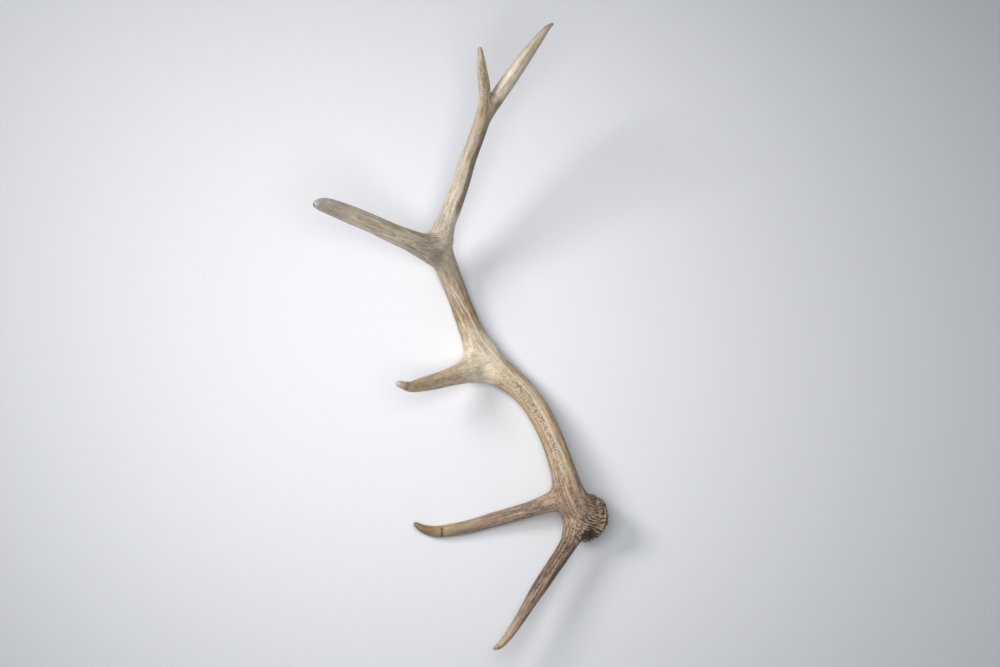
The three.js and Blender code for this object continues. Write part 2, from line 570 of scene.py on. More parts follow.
@dataclass
class Burr:
    """Crown round the antler's base, turned about its outward direction.

    The profile is its (distance from the axis, height along it), from inside the base to the
    shed face. The ripples are counted down a slope that starts at the rim, and they fade out
    over their reach down it, their top in height and their fade along the growth frame's Y.
    """

    radius: float = 43.0
    outward: tuple[float, float, float] = (0.74, -0.29, -0.60)
    profile: tuple[tuple[float, float], ...] = (
        (0.0, -30.0),
        (24.0, -30.0),
        (30.5, -20.0),
        (36.0, -11.0),
        (41.0, -5.0),
        (43.0, 0.0),
        (41.5, 4.2),
        (37.5, 6.0),
        (32.0, 5.0),
        (27.0, 7.0),
        (17.0, 10.0),
        (0.0, 11.5),
    )
    segments: int = 72
    fillet: float = 30.0
    fillet_fade: float = 0.4
    ripple_gap: float = 4.4
    ripple_run: float = 15.0
    ripple_height: float = 2.1
    ripple_reach: tuple[float, float] = (66.0, 34.0)
    ripple_top: tuple[float, float] = (3.0, 7.0)
    ripple_fade: tuple[float, float] = (30.0, 6.0)
    ripple_level: float = -0.06
    slope_way: tuple[float, float] = (0.6, 0.8)
    least_row: float = 0.25
    row_share: float = 0.68
    groove_share: float = 0.5
    groove_width: float = 0.34
    bead_count: int = 41
    bead_height: float = 3.0
    rim_start: tuple[float, float] = (36.5, 41.0)
    rim_width: float = 4.6
    rim_height: float = -0.5
    knob_level: float = 0.45
    face_start: tuple[float, float] = (4.0, 6.5)
    face_edge: tuple[float, float] = (31.0, 35.0)
    wobble_width: float = 12.0
    wobble: float = 0.12
    small_wobble: float = 0.05
    sway_width: float = 15.0
    sway: float = 2.6
    small_sway: float = 1.2
    uneven_width: float = 9.0
    unevenness: float = 0.5
    small_width: float = 6.0
    lump_width: float = 6.5
    lump_height: float = 0.7
    grit_width: float = 2.6
    grit_height: float = 0.5
    seed: int = 40

    def axes(self) -> tuple[Array, Array, Array]:
        """Outward direction, and two directions in the plane of the crown."""
        outward = unit(np.array(self.outward))
        first = unit(np.cross(outward, [0.0, 0.0, 1.0]))
        return outward, first, np.cross(outward, first)

    def coordinates(self, points: Array) -> tuple[Array, Array, Array]:
        """Distance from the axis, height along it, and turn round it, for each point."""
        outward, first, second = self.axes()
        height = points @ outward
        flat = points - height[:, None] * outward
        return np.linalg.norm(flat, axis=1), height, np.arctan2(flat @ second, flat @ first)

    def distance(self, points: Array) -> tuple[Array, Array]:
        """Signed distance to the smooth crown, and the direction out of it."""
        radial, height, _ = self.coordinates(points)
        spot = np.stack([radial, height], axis=1)
        nearest = np.full(len(points), 1e9)
        way = np.zeros((len(points), 2))
        inside = np.zeros(len(points), bool)
        for start, end in zip(self.profile[:-1], self.profile[1:], strict=True):
            start, end = np.array(start), np.array(end)
            edge = end - start
            share = np.clip((spot - start) @ edge / (edge @ edge), 0, 1)
            gap = spot - start - share[:, None] * edge
            length = np.linalg.norm(gap, axis=1)
            closer = length < nearest
            nearest = np.where(closer, length, nearest)
            way[closer] = gap[closer]
            crosses = (start[1] > height) != (end[1] > height)
            rise = edge[1] if edge[1] else 1e-9
            inside ^= crosses & (radial < start[0] + (height - start[1]) * edge[0] / rise)
        sign = np.where(inside, -1.0, 1.0)
        way = unit(way * sign[:, None])
        outward, _, _ = self.axes()
        flat = unit(points - (points @ outward)[:, None] * outward)
        return nearest * sign, way[:, :1] * flat + way[:, 1:] * outward

    def tube(self) -> tuple[Array, list[tuple[int, ...]]]:
        """Closed turned shape of the crown: its vertices and its faces."""
        outward, first, second = self.axes()
        turns = np.arange(self.segments) * (2 * math.pi / self.segments)
        circle = np.outer(np.cos(turns), first) + np.outer(np.sin(turns), second)
        rings = [circle * radius + outward * height for radius, height in self.profile[1:-1]]
        faces: list[tuple[int, ...]] = []
        top = (len(rings) - 1) * self.segments
        ends = top + self.segments
        for side in range(self.segments):
            following = (side + 1) % self.segments
            faces.append((ends, following, side))
            faces.append((top + side, top + following, ends + 1))
            faces += wall(side, self.segments, len(rings))
        caps = np.array([outward * self.profile[0][1], outward * self.profile[-1][1]])
        return np.vstack([*rings, caps]), faces

    def relief(self, points: Array) -> tuple[Array, Array, Array, Array]:
        """Wavy ripples that run down to the rim, knobs on the rim and grit on the shed face.

        Args:
            points: places on the smooth skin.

        Returns:
            Height in millimetres, how far the crown's own look holds, how pale its knobs are,
            and how far the place is on the shed face.
        """
        radial, height, turn = self.coordinates(points)
        inward, down = self.slope_way
        slope = inward * (self.radius - radial) + down * np.maximum(-height, 0)
        turn = turn + self.wobble * waves(points / self.wobble_width, self.seed)
        turn = turn + self.small_wobble * waves(points / self.small_width, self.seed + 1)
        circle = np.stack([np.cos(turn), np.sin(turn)], axis=1) * (0.9 * self.radius)
        along = slope[:, None] / self.ripple_run
        worm = np.abs(waves(np.hstack([circle / self.ripple_gap, along]), self.seed + 2))
        sway = self.sway * waves(points / self.sway_width, self.seed + 6)
        sway += self.small_sway * waves(points / self.small_width, self.seed + 7)
        row = np.cos(self.bead_count * turn + sway)
        lower = self.least_row + (1 - self.least_row) * step(*self.ripple_fade, points[:, 1])
        grooves = 0.5 - np.clip(worm / self.groove_width, 0, 1.3)
        ripples = self.row_share * lower * row + self.ripple_level + self.groove_share * grooves
        reach = step(*self.ripple_reach, slope) * (1 - step(*self.ripple_top, height))
        uneven = 0.85 + self.unevenness * waves(points / self.uneven_width, self.seed + 3)
        knob = (0.5 + 0.5 * row) * uneven
        rim = step(*self.rim_start, radial) * bell(height - self.rim_height, self.rim_width)
        face = step(*self.face_start, height) * (1 - step(*self.face_edge, radial))
        grit = waves(points / self.grit_width, self.seed + 4) * self.grit_height
        grit += waves(points / self.lump_width, self.seed + 5) * self.lump_height
        rippled = self.ripple_height * reach * (1 - 0.6 * rim) * ripples
        total = rippled + self.bead_height * rim * (knob - self.knob_level) + face * grit
        return total, np.maximum(reach, face), rim * knob, face


# ---------------------------------------------------------------------------------------------
# The antler's shape


BEAM = Stem(
    name="beam",
    stations=(
        (-6, 3, 4, 33, 33),
        (-24, 20, 19, 31, 32),
        (-40, 52, 25, 28.5, 28),
        (-51, 93, 21, 23.8, 24),
        (-69, 146, 8, 21.6, 22),
        (-94, 197, -4, 22, 22),
        (-124, 237, -10, 22, 22),
        (-160, 268, -11, 23.5, 21.5),
        (-190, 299, -12, 25.2, 20.5),
        (-213, 333, -16, 23.6, 20.5),
        (-233, 380, -20, 21, 21),
        (-248, 420, -17, 20, 20.5),
        (-264, 461, -2, 21.5, 20),
        (-278, 505, 20, 22.4, 19.5),
        (-270, 544, 38, 19, 18.5),
        (-254, 582, 51, 17.2, 17),
        (-239, 622, 62, 16, 16.5),
        (-226, 663, 74, 15.2, 16),
        (-211, 701, 83, 14.5, 16.5),
        (-200, 732, 91, 14.7, 18),
    ),
    bands=(
        Band(0.0, Tone.GREY_BROWN, Tone.GREY_BROWN, 0.80, 0.50, 1.00, 0.00),
        Band(1.3, Tone.ROSE_TAN, Tone.HAZEL, 0.80, 0.45, 0.90, 0.05),
        Band(2.4, Tone.ROSE_TAN, Tone.HAZEL, 0.70, 0.30, 0.85, 0.05),
        Band(3.2, Tone.GOLD_TAN, Tone.OLIVE_TAN, 0.50, 0.20, 0.80, 0.15),
        Band(5.0, Tone.GOLD_TAN, Tone.PALE_TAN, 0.42, 0.12, 0.80, 0.25),
        Band(7.0, Tone.GOLD_TAN, Tone.CREAM, 0.40, 0.12, 0.80, 0.25),
        Band(8.3, Tone.IVORY, Tone.CREAM, 0.22, 0.08, 0.35, 0.30),
        Band(10.0, Tone.GOLD_TAN, Tone.GREY_BROWN, 0.45, 0.10, 0.85, 0.25),
        Band(11.5, Tone.ROSE_TAN, Tone.PALE_TAUPE, 0.40, 0.10, 0.80, 0.20),
        Band(12.6, Tone.PALE_TAUPE, Tone.PALE_TAUPE, 0.30, 0.05, 0.60, 0.20),
        Band(13.7, Tone.IVORY, Tone.GREY_BROWN, 0.34, 0.05, 0.70, 0.25),
        Band(15.2, Tone.IVORY, Tone.GREY_BROWN, 0.36, 0.08, 0.80, 0.30),
        Band(17.6, Tone.IVORY, Tone.GREY_BROWN, 0.34, 0.08, 0.70, 0.30),
        Band(19.0, Tone.CREAM, Tone.GREY_BROWN, 0.25, 0.05, 0.60, 0.35),
    ),
    strips=(
        Strip((2.9, 6.9), (66, 103), 1.3, Tone.PALE_TAUPE, 0.6),
        Strip((6.2, 9.4), (70, 118), 0.45, Tone.CREAM, 0.4),
        Strip((1.8, 8.6), (205, 285), 0.75, Tone.PINK_TAN, 0.6),
        Strip((9.5, 12.0), (200, 260), 0.4, Tone.PALE_TAN, 0.4),
        Strip((15.9, 20.0), (82, 112), 0.4, Tone.OLIVE_BROWN, 0.5),
        # Painted shade: pearled grey-brown strip down the upper beam's right side, away from the lamp
        Strip((14.9, 20.0), (120, 190), 0.3, Tone.GREY_BROWN, 0.85),
    ),
    ridges=(
        Ridge(
            (
                *((2.5, 118), (3.4, 111), (4.0, 100), (5.0, 101), (6.0, 111), (7.0, 126)),
                *((8.0, 122), (9.0, 117), (10.0, 111), (11.0, 88), (11.8, 64)),
            ),
            0.9, 0.95, 0.95,
        ),
        Ridge(((3.0, 124), (4.0, 110), (5.0, 111), (6.0, 122), (6.9, 136)), 0.7, 0.8, 0.75),
        Ridge(((3.2, 138), (4.2, 124), (5.2, 124), (6.2, 136)), 0.6, 0.8, 0.6),
        Ridge(((2.8, 66), (4.0, 58), (5.2, 58), (6.2, 64)), -0.5, 0.6, -0.6),
        Ridge(((3.0, 30), (4.5, 26), (6.4, 36)), -0.7, 1.0, -0.6),
        Ridge(((3.6, 50), (5.0, 44), (6.6, 52), (7.6, 50)), -0.6, 0.9, -0.55),
        Ridge(((3.4, 14), (5.0, 10), (7.2, 18)), -0.6, 0.9, -0.5),
        Ridge(((9.3, 66), (9.9, 62), (10.6, 50)), 0.6, 0.8, 0.8),
        Ridge(((9.9, 88), (10.6, 80), (11.3, 66)), 0.5, 0.7, 0.6),
        Ridge(((7.6, 96), (8.4, 92), (9.3, 88)), 0.4, 0.8, 0.5),
        Ridge(((15.0, 104), (16.0, 98), (17.2, 100)), 0.4, 0.8, 0.4),
        Ridge(((3.0, 300), (5.0, 292), (7.5, 300), (10.0, 290)), 0.8, 0.9, 0.7),
        Ridge(((4.0, 196), (6.0, 204), (8.6, 200)), 0.7, 0.9, 0.6),
        Ridge(((12.5, 250), (15.0, 240), (18.0, 246)), 0.5, 0.8, 0.5),
    ),
    seed=100,
)
BROW_TINE = Stem(
    name="brow",
    stations=(
        (-19, 11, 18, 29, 29),
        (-28, -12, 26, 22, 23),
        (-39, -37, 35, 16.8, 18),
        (-53, -59, 44, 15, 16),
        (-71, -83, 55, 14.4, 15),
        (-92, -111, 69, 13.8, 13.8),
        (-112, -139, 83, 11.8, 12),
        (-132, -168, 99, 9.6, 10),
        (-151, -193, 112, 8.2, 8.5),
        (-167, -210, 120, 6.3, 6.6),
        (-177, -215, 124, 3.9, 4.2),
    ),
    bands=(
        Band(0.0, Tone.ROSE_TAN, Tone.TAUPE, 0.6, 0.6, 0.9, 0.0),
        Band(2.6, Tone.PINK_BROWN, Tone.GREY_BROWN, 0.9, 0.4, 1.0, 0.0),
        Band(5.6, Tone.PINK_BROWN, Tone.GREY_BROWN, 0.7, 0.25, 1.0, 0.05),
        Band(7.3, Tone.ROSE_TAN, Tone.HAZEL, 0.3, 0.1, 0.65, 0.3),
        Band(8.8, Tone.PALE_TAN, Tone.OLIVE_TAN, 0.15, 0.0, 0.45, 0.7),
        Band(10.0, Tone.ROSE_TAN, Tone.OLIVE_TAN, 0.05, 0.0, 0.3, 0.9),
    ),
    fillets=(10.0, 10.0),
    rings=(Ring(9.35, 0.1, -0.5, 0.09, 0.5, (0, 360)),),
    seed=200,
)
BEZ_TINE = Stem(
    name="bez",
    stations=(
        (-30, 38, 24, 25, 24),
        (-54, 38, 24, 22, 21),
        (-79, 31, 22, 17.5, 17.5),
        (-108, 21, 20, 14.9, 15),
        (-145, 10, 20, 14.1, 14),
        (-186, -1, 22, 13.6, 13.6),
        (-223, -11, 28, 12.6, 12.6),
        (-260, -17, 36, 11.6, 11.6),
        (-287, -18, 44, 10.3, 10.3),
        (-309, -12, 52, 7.9, 8),
        (-322, -3, 57, 5, 5),
    ),
    bands=(
        Band(0.0, Tone.ROSE_TAN, Tone.HAZEL, 0.6, 0.5, 0.85, 0.0),
        Band(2.4, Tone.ROSE_TAN, Tone.TAUPE, 0.5, 0.4, 0.95, 0.05),
        Band(4.5, Tone.ROSE_TAN, Tone.GREY_BROWN, 0.45, 0.15, 0.9, 0.15),
        Band(6.2, Tone.HAZEL, Tone.TAUPE, 0.35, 0.0, 0.8, 0.35),
        Band(7.2, Tone.GOLD_TAN, Tone.OLIVE_TAN, 0.2, 0.0, 0.6, 0.5),
        Band(8.6, Tone.OLIVE_BROWN, Tone.OLIVE_BROWN, 0.1, 0.0, 0.5, 0.7),
        Band(10.0, Tone.OLIVE_BROWN, Tone.OLIVE_BROWN, 0.05, 0.0, 0.4, 0.8),
    ),
    fillets=(15.0, 8.0),
    rings=(Ring(7.55, 0.12, -0.7, 0.07, 0.8, (20, 130)),),
    seed=300,
)
TREZ_TINE = Stem(
    name="trez",
    stations=(
        (-183, 285, -10, 26, 20),
        (-213, 280, 4, 24.5, 19.5),
        (-234, 275, 25, 21, 18.5),
        (-258, 267, 54, 17, 16.5),
        (-284, 260, 82, 14.9, 14.9),
        (-308, 255, 110, 12.8, 13),
        (-327, 252, 136, 9.6, 10),
        (-346, 258, 157, 6, 6.5),
    ),
    bands=(
        Band(0.0, Tone.IVORY, Tone.CREAM, 0.22, 0.08, 0.35, 0.3),
        Band(2.0, Tone.IVORY, Tone.PALE_TAN, 0.25, 0.05, 0.4, 0.3),
        Band(3.2, Tone.CREAM, Tone.GOLD_TAN, 0.35, 0.05, 0.75, 0.3),
        Band(4.8, Tone.CREAM, Tone.OLIVE_TAN, 0.4, 0.0, 0.85, 0.4),
        Band(5.9, Tone.OLIVE_TAN, Tone.OLIVE_TAN, 0.15, 0.0, 0.6, 0.6),
        Band(6.5, Tone.PALE_TAUPE, Tone.PINK_TAN, 0.0, 0.0, 0.2, 0.9),
    ),
    fillets=(46.0, 60.0),
    bare_back=(0.95, 0.7),
    rings=(
        Ring(5.95, 0.25, 1.3, 0.16, 0.0, (0, 360)),
        Ring(6.38, 0.25, -2.2, 0.13, 0.6, (0, 360)),
    ),
    seed=400,
)
ROYAL_TINE = Stem(
    name="royal",
    stations=(
        (-272, 490, 14, 22, 19),
        (-292, 500, 34, 25, 20),
        (-313, 508, 62, 22.4, 20),
        (-333, 516, 90, 19.6, 19.5),
        (-352, 523, 110, 18, 18.8),
        (-372, 531, 130, 17.2, 18),
        (-393, 540, 154, 16.4, 17),
        (-428, 553, 194, 16, 16),
        (-458, 563, 232, 14, 14),
        (-471, 565, 250, 11.2, 11.2),
        (-476, 565, 258, 8, 8),
    ),
    bands=(
        Band(0.0, Tone.PALE_TAUPE, Tone.PALE_TAUPE, 0.3, 0.05, 0.6, 0.2),
        Band(2.5, Tone.PALE_TAUPE, Tone.PALE_TAUPE, 0.4, 0.05, 0.7, 0.2),
        Band(5.0, Tone.CREAM, Tone.PALE_TAUPE, 0.45, 0.05, 0.8, 0.2),
        Band(7.0, Tone.CREAM, Tone.PALE_TAUPE, 0.35, 0.0, 0.65, 0.4),
        Band(8.3, Tone.PALE_TAUPE, Tone.PALE_TAUPE, 0.2, 0.0, 0.6, 0.65),
        Band(10.0, Tone.PALE_SLATE, Tone.PALE_SLATE, 0.05, 0.0, 0.3, 0.8),
    ),
    fillets=(27.0, 24.0),
    fillet_fade=0.3,
    bare_back=(0.2, -0.3),
    ridges=(
        Ridge(((4.4, 80), (5.6, 68), (6.7, 55)), -0.7, 0.7, -0.7),
        Ridge(((3.0, 112), (5.0, 108), (7.6, 116)), 0.5, 0.9, 0.5),
        Ridge(((3.4, 62), (4.6, 50), (7.0, 40)), 0.5, 0.9, 0.5),
    ),
    seed=500,
)
FRONT_FORK_TINE = Stem(
    name="front fork",
    stations=(
        (-203, 724, 89, 14.2, 15),
        (-197, 749, 101, 12.7, 14),
        (-195, 769, 113, 10.8, 12),
        (-196, 790, 124, 10.8, 10.5),
        (-199, 810, 135, 9.6, 9),
        (-201, 830, 146, 7.4, 7),
        (-203, 848, 155, 4.6, 4.4),
    ),
    bands=(
        Band(0.0, Tone.CREAM, Tone.GREY_BROWN, 0.3, 0.05, 0.8, 0.35),
        Band(2.5, Tone.CREAM, Tone.GREY_BROWN, 0.35, 0.0, 0.95, 0.5),
        Band(4.5, Tone.CREAM, Tone.GREY_BROWN, 0.3, 0.0, 0.9, 0.7),
        Band(6.0, Tone.PALE_TAUPE, Tone.TAUPE, 0.0, 0.0, 0.3, 0.9),
    ),
    strips=(Strip((-1.0, 5.4), (68, 124), 0.6, Tone.OLIVE_BROWN, 0.66),),
    fillets=(6.0, 6.0),
    shade_span=(-0.4, 0.25),
    seed=600,
)
REAR_FORK_TINE = Stem(
    name="rear fork",
    stations=(
        (-203, 724, 87, 12.7, 14),
        (-188, 750, 94, 13.4, 14),
        (-174, 771, 99, 14, 13.5),
        (-158, 793, 104, 14.2, 13),
        (-140, 818, 109, 13.5, 12.5),
        (-119, 847, 114, 11.8, 11.2),
        (-98, 874, 119, 8.5, 8.2),
        (-84, 891, 122, 5.6, 5.4),
        (-74, 899, 124, 3, 2.9),
    ),
    bands=(
        Band(0.0, Tone.HAZEL, Tone.TAUPE, 0.2, 0.05, 0.45, 0.3),
        Band(1.1, Tone.HAZEL, Tone.GREY_BROWN, 0.25, 0.05, 0.5, 0.4),
        Band(1.7, Tone.IVORY, Tone.GREY_BROWN, 0.3, 0.0, 0.6, 0.4),
        Band(3.5, Tone.IVORY, Tone.OLIVE_BROWN, 0.25, 0.0, 0.6, 0.6),
        Band(5.3, Tone.BARE_BONE, Tone.GREY_BROWN, 0.2, 0.0, 0.6, 0.8),
        Band(6.2, Tone.PALE_TAUPE, Tone.TAUPE, 0.05, 0.0, 0.3, 0.8),
        Band(8.0, Tone.SLATE, Tone.SLATE, 0.0, 0.0, 0.2, 0.8),
    ),
    fillets=(5.0, 5.0),
    ridges=(
        Ridge(((2.2, 92), (3.2, 100), (4.2, 104), (5.2, 100), (6.2, 96)), -0.9, 0.8, -0.75),
        Ridge(((2.3, 78), (3.2, 84), (4.6, 86)), 0.3, 0.8, 0.4),
    ),
    rings=(Ring(1.85, 0.5, -0.7, 0.10, 0.5, (10, 100)),),
    shade_span=(-0.2, 0.16),
    lean=0.8,
    seed=700,
)
STEMS = (BEAM, BROW_TINE, BEZ_TINE, TREZ_TINE, ROYAL_TINE, FRONT_FORK_TINE, REAR_FORK_TINE)


@dataclass(frozen=True)
class Cut:
    """Where a tine or a stretch of beam is sawn off: a stem and a place in stations.

    Only skin within the reach, in half sizes of the stem, and the span, in millimetres along
    it, is cut.
    """

    stem: Stem
    place: float
    reach: float = 1.7
    span: float = 4.0


@dataclass(frozen=True)
class DarkSpot:
    """Dark spot: its middle in the growth frame, radius, darkness, and height of its skin."""

    middle: tuple[float, float, float]
    radius: float
    darkness: float
    height: float


@dataclass(frozen=True)
class Piece:
    """A sawn piece of the antler: a place well inside it, its node and its material slot."""

    node: str
    stem: Stem
    place: float
    slot: Slot


CUTS = (
    Cut(BROW_TINE, 2.45),
    Cut(BEZ_TINE, 2.05),
    Cut(BEAM, 2.7),
    Cut(BEAM, 6.75),
    Cut(TREZ_TINE, 2.5),
    Cut(BEAM, 11.4),
    Cut(ROYAL_TINE, 2.4),
    Cut(FRONT_FORK_TINE, 2.7),
    Cut(REAR_FORK_TINE, 2.6),
)
PIECES = (
    Piece("burr_base", BEAM, 1.5, Slot.BURR),
    Piece("brow_tine", BROW_TINE, 6, Slot.BROW),
    Piece("bez_tine", BEZ_TINE, 6, Slot.BROWN),
    Piece("lower_beam", BEAM, 5, Slot.TAN),
    Piece("trez_tine", TREZ_TINE, 5, Slot.TAN),
    Piece("middle_beam", BEAM, 9.5, Slot.TAN),
    Piece("royal_tine", ROYAL_TINE, 6, Slot.TAUPE),
    Piece("upper_beam", BEAM, 16, Slot.TAN),
    Piece("front_fork_tine", FRONT_FORK_TINE, 4, Slot.TAN),
    Piece("rear_fork_tine", REAR_FORK_TINE, 5, Slot.IVORY),
)
DARK_SPOTS = (
    DarkSpot((-483.0, 562.0, 262.0), 4.5, 0.8, -0.5),
    DarkSpot((-455.0, 553.0, 246.0), 4.0, 0.5, 0.0),
    DarkSpot((-281.0, 483.0, 48.0), 17.0, 0.3, 0.0),
    # Two dark, dented spots in the hollow between the brow tine and the burr
    DarkSpot((-9.0, -26.0, 39.0), 12.0, 0.85, -2.2),
    DarkSpot((2.0, -27.0, 32.0), 12.0, 0.9, -1.8),
)


@dataclass
class Look:
    """What the finishes read at each vertex.

    The ground is the bone's colour in linear light, with painted light and shade on the sides that
    face towards and away from the lamp, and the flow is how the finishes' patterns run: millimetres
    across, into and along its stem. The rest are shares from 0 to 1.
    """

    ground: Array
    crown: Array
    trough: Array
    pale: Array
    mark: Array
    polish: Array
    grain: Array
    flow: Array


@dataclass
class Antler:
    """The whole antler's skin, from its stems to its sawn pieces.

    The grains are the lengths of the skin's faces, and the rounds are how often it settles. The
    crown fades out between two distances from its middle. The shades are the heights at which
    crests are near their palest and troughs near their darkest. The grain shows where one stem
    leads the next in its say by that much. A dark spot's edge is counted in its radius.
    """

    burr: Burr = field(default_factory=Burr)
    coarse_grain: float = 2.5
    fine_grain: float = 1.0
    coarse_rounds: int = 14
    fine_rounds: int = 5
    slide: float = 0.5
    press: float = 0.9
    longest_push: float = 2.0
    root_end: float = 0.3
    blend_width: float = 2.5
    least_share: float = 0.01
    crown_fade: tuple[float, float] = (78.0, 46.0)
    swell_width: float = 46.0
    dimple_width: float = 19.0
    swell_height: float = 0.55
    dimple_share: float = 0.5
    crown_cover: float = 0.6
    knob_paleness: float = 1.1
    relief_shade: float = 0.4
    row_shade: float = 0.9
    grain_lead: tuple[float, float] = (0.1, 0.7)
    least_grain: float = 0.4
    grain_wear: float = 0.5
    spot_raggedness: float = 0.35
    spot_edge: tuple[float, float] = (0.5, 1.2)
    seed: int = 7

    def field_at(self, points: Array) -> tuple[Array, list[Local]]:
        """Signed distance from the skin, with the crotches of the forks filled in.

        Args:
            points: places in the growth frame.

        Returns:
            The distances, and the points as seen from each stem.
        """
        distance, outward = np.full(len(points), FAR), np.zeros((len(points), 3))
        found = [stem.locate(points) for stem in STEMS]
        for stem, local in zip(STEMS, found, strict=True):
            above, below = stem.fillets
            radius = below + (above - below) * step(-0.6, 0.6, local.outward[:, 1])
            if stem.bare_back:
                front = step(*stem.bare_back, local.outward[:, 0])
                radius *= np.maximum(front, step(0.0, self.root_end, local.place))
            near = local.index
            distance[near], outward[near] = joined(
                distance[near], outward[near], local.distance, local.outward, radius, stem.fillet_fade
            )
        near = np.flatnonzero(np.linalg.norm(points, axis=1) < 2 * self.burr.radius)
        crown, crown_way = self.burr.distance(points[near])
        distance[near], _ = joined(
            distance[near], outward[near], crown, crown_way, self.burr.fillet, self.burr.fillet_fade
        )
        return distance, found

    def settled(self, skin: Surface, rounds: int) -> Surface:
        """Lets a skin slide onto the true shape while its vertices spread evenly."""
        edges = skin.edges()
        for _ in range(rounds):
            normals = skin.normals()
            pull = skin.averaged(skin.places, edges) - skin.places
            pull -= np.einsum("ij,ij->i", pull, normals)[:, None] * normals
            distance, _ = self.field_at(skin.places)
            push = np.clip(distance, -self.longest_push, self.longest_push)[:, None] * normals
            skin = Surface(skin.places + self.slide * pull - self.press * push, skin.faces)
        return skin

    def grown(self) -> Surface:
        """Fuses the stems and the burr, fills the crotches and refines the skin."""
        for stem in STEMS:
            log.info("%s: %.0f mm along its curve", stem.name, stem.lengths[-1])
        places, faces, count = [], [], 0
        for shape in (*STEMS, self.burr):
            tube_places, tube_faces = shape.tube()
            places.append(tube_places)
            faces += [tuple(index + count for index in face) for face in tube_faces]
            count += len(tube_places)
        mesh = bpy.data.meshes.new("stems")
        mesh.from_pydata(np.vstack(places).tolist(), [], faces)
        coarse = self.settled(fused(mesh, self.coarse_grain, 0), self.coarse_rounds)
        fine = fused(coarse.to_mesh("coarse"), self.fine_grain, 1)
        return self.settled(fine, self.fine_rounds)

    def sawn(self, skin: Surface) -> tuple[Surface, Array]:
        """Cuts the skin's faces along the saw planes.

        Args:
            skin: the whole skin, of quads.

        Returns:
            The skin in triangles, and the pairs of vertices of its sawn edges.
        """
        middles = skin.places[skin.faces].mean(axis=1)
        work = bmesh.new()
        work.from_mesh(skin.to_mesh("skin"))
        work.faces.ensure_lookup_table()
        near = []
        for cut in CUTS:
            at = cut.stem.sections(np.array([cut.place]))
            offset = middles - at.centre
            inside = np.abs(offset @ at.along[0]) < cut.span
            for axis, half in zip((at.across[0], at.deep[0]), at.half[0], strict=True):
                inside &= np.abs(offset @ axis) < cut.reach * half
            near.append((at, [work.faces[i] for i in np.flatnonzero(inside)]))
        sawn_edges = []
        for at, faces in near:
            edges = {edge for face in faces for edge in face.edges}
            corners = {vertex for face in faces for vertex in face.verts}
            result = bmesh.ops.bisect_plane(
                work,
                geom=[*corners, *edges, *faces],
                dist=1e-5,
                plane_co=at.centre[0],
                plane_no=at.along[0],
            )
            sawn_edges += [e for e in result["geom_cut"] if isinstance(e, bmesh.types.BMEdge)]
        bmesh.ops.triangulate(work, faces=work.faces[:])
        work.verts.index_update()
        pairs = np.array([[v.index for v in edge.verts] for edge in sawn_edges if edge.is_valid])
        mesh = bpy.data.meshes.new("sawn")
        work.to_mesh(mesh)
        work.free()
        return surface_of(mesh), np.sort(pairs, axis=1)

    def shares(self, found: list[Local], count: int) -> Array:
        """How much each stem has a say in the look of each of a number of points."""
        distances = np.full((count, len(found)), FAR)
        for i, local in enumerate(found):
            distances[local.index, i] = local.distance
        shares = np.exp((distances.min(axis=1, keepdims=True) - distances) / self.blend_width)
        return shares / shares.sum(axis=1, keepdims=True)

    def dressed(self, skin: Surface) -> tuple[Surface, Look]:
        """Raises the gutters, pearls, ridges and knobs, and colours the bone.

        Args:
            skin: the smooth skin.

        Returns:
            The rough skin, and its look.
        """
        points, normals = skin.places, skin.normals()
        _, found = self.field_at(points)
        count = len(points)
        shares = self.shares(found, count)
        grown = Growth.empty(count)
        flow = np.zeros((count, 3))
        owner = np.argmax(shares, axis=1)
        for i, (stem, whole) in enumerate(zip(STEMS, found, strict=True)):
            local = whole.chosen(shares[whole.index, i] > self.least_share)
            own = local.index
            grown.add(own, shares[own, i], stem_growth(stem, local, normals[own]))
            mine = local.chosen(owner[own] == i)
            flow[mine.index] = mine.flow
        rows, hold, knobs, face = self.burr.relief(points)
        near_crown = hold * step(*self.crown_fade, np.linalg.norm(points, axis=1))
        rows, knobs, face = rows * near_crown, knobs * near_crown, face * near_crown
        swell = waves(points / self.swell_width, self.seed)
        swell += self.dimple_share * waves(points / self.dimple_width, self.seed + 1)
        texture = grown.height * (1 - self.crown_cover * near_crown) + rows
        height = texture + swell * self.swell_height
        mark, spots = self.marks(points)
        pale = np.clip(grown.pale * (1 - near_crown) + self.knob_paleness * knobs, 0, 1)
        relief = np.tanh(grown.relief * (1 - near_crown) / self.relief_shade + rows / self.row_shade)
        contrast = np.maximum(grown.contrast, near_crown)
        ground = grown.ground + (np.array(Tone.BARE_BONE.linear) - grown.ground) * face[:, None]
        crotch, crotch_dark, crotch_pale = crotch_marks(points)
        height += spots + crotch
        ordered = np.sort(shares, axis=1)
        own_grain = step(*self.grain_lead, ordered[:, -1] - ordered[:, -2])
        grain = self.least_grain + (1 - self.least_grain) * contrast
        look = Look(
            ground=ground,
            crown=np.clip(relief, 0, 1) * contrast,
            trough=np.clip(-relief, 0, 1) * contrast,
            pale=np.maximum(pale, crotch_pale),
            mark=np.clip(mark + grown.mark + crotch_dark, 0, 1),
            polish=grown.polish * (1 - near_crown),
            grain=own_grain * grain * (1 - self.grain_wear * grown.polish),
            flow=flow,
        )
        return Surface(points + normals * height[:, None], skin.faces), look

    def marks(self, points: Array) -> tuple[Array, Array]:
        """Darkness of the dark spots, and how far they dent the surface."""
        darkness, height = np.zeros(len(points)), np.zeros(len(points))
        inner, outer = self.spot_edge
        for dark_spot in DARK_SPOTS:
            noise = waves(points / dark_spot.radius * 1.4, self.seed + 2)
            ragged = 1 + self.spot_raggedness * noise
            gap = np.linalg.norm(points - np.array(dark_spot.middle), axis=1) * ragged
            cover = 1 - step(inner * dark_spot.radius, outer * dark_spot.radius, gap)
            darkness = np.maximum(darkness, dark_spot.darkness * cover)
            height += dark_spot.height * cover
        return darkness, height


# Two skins that face more alike than this, as their dot product, meet in no crease
ALIKE = 0.98


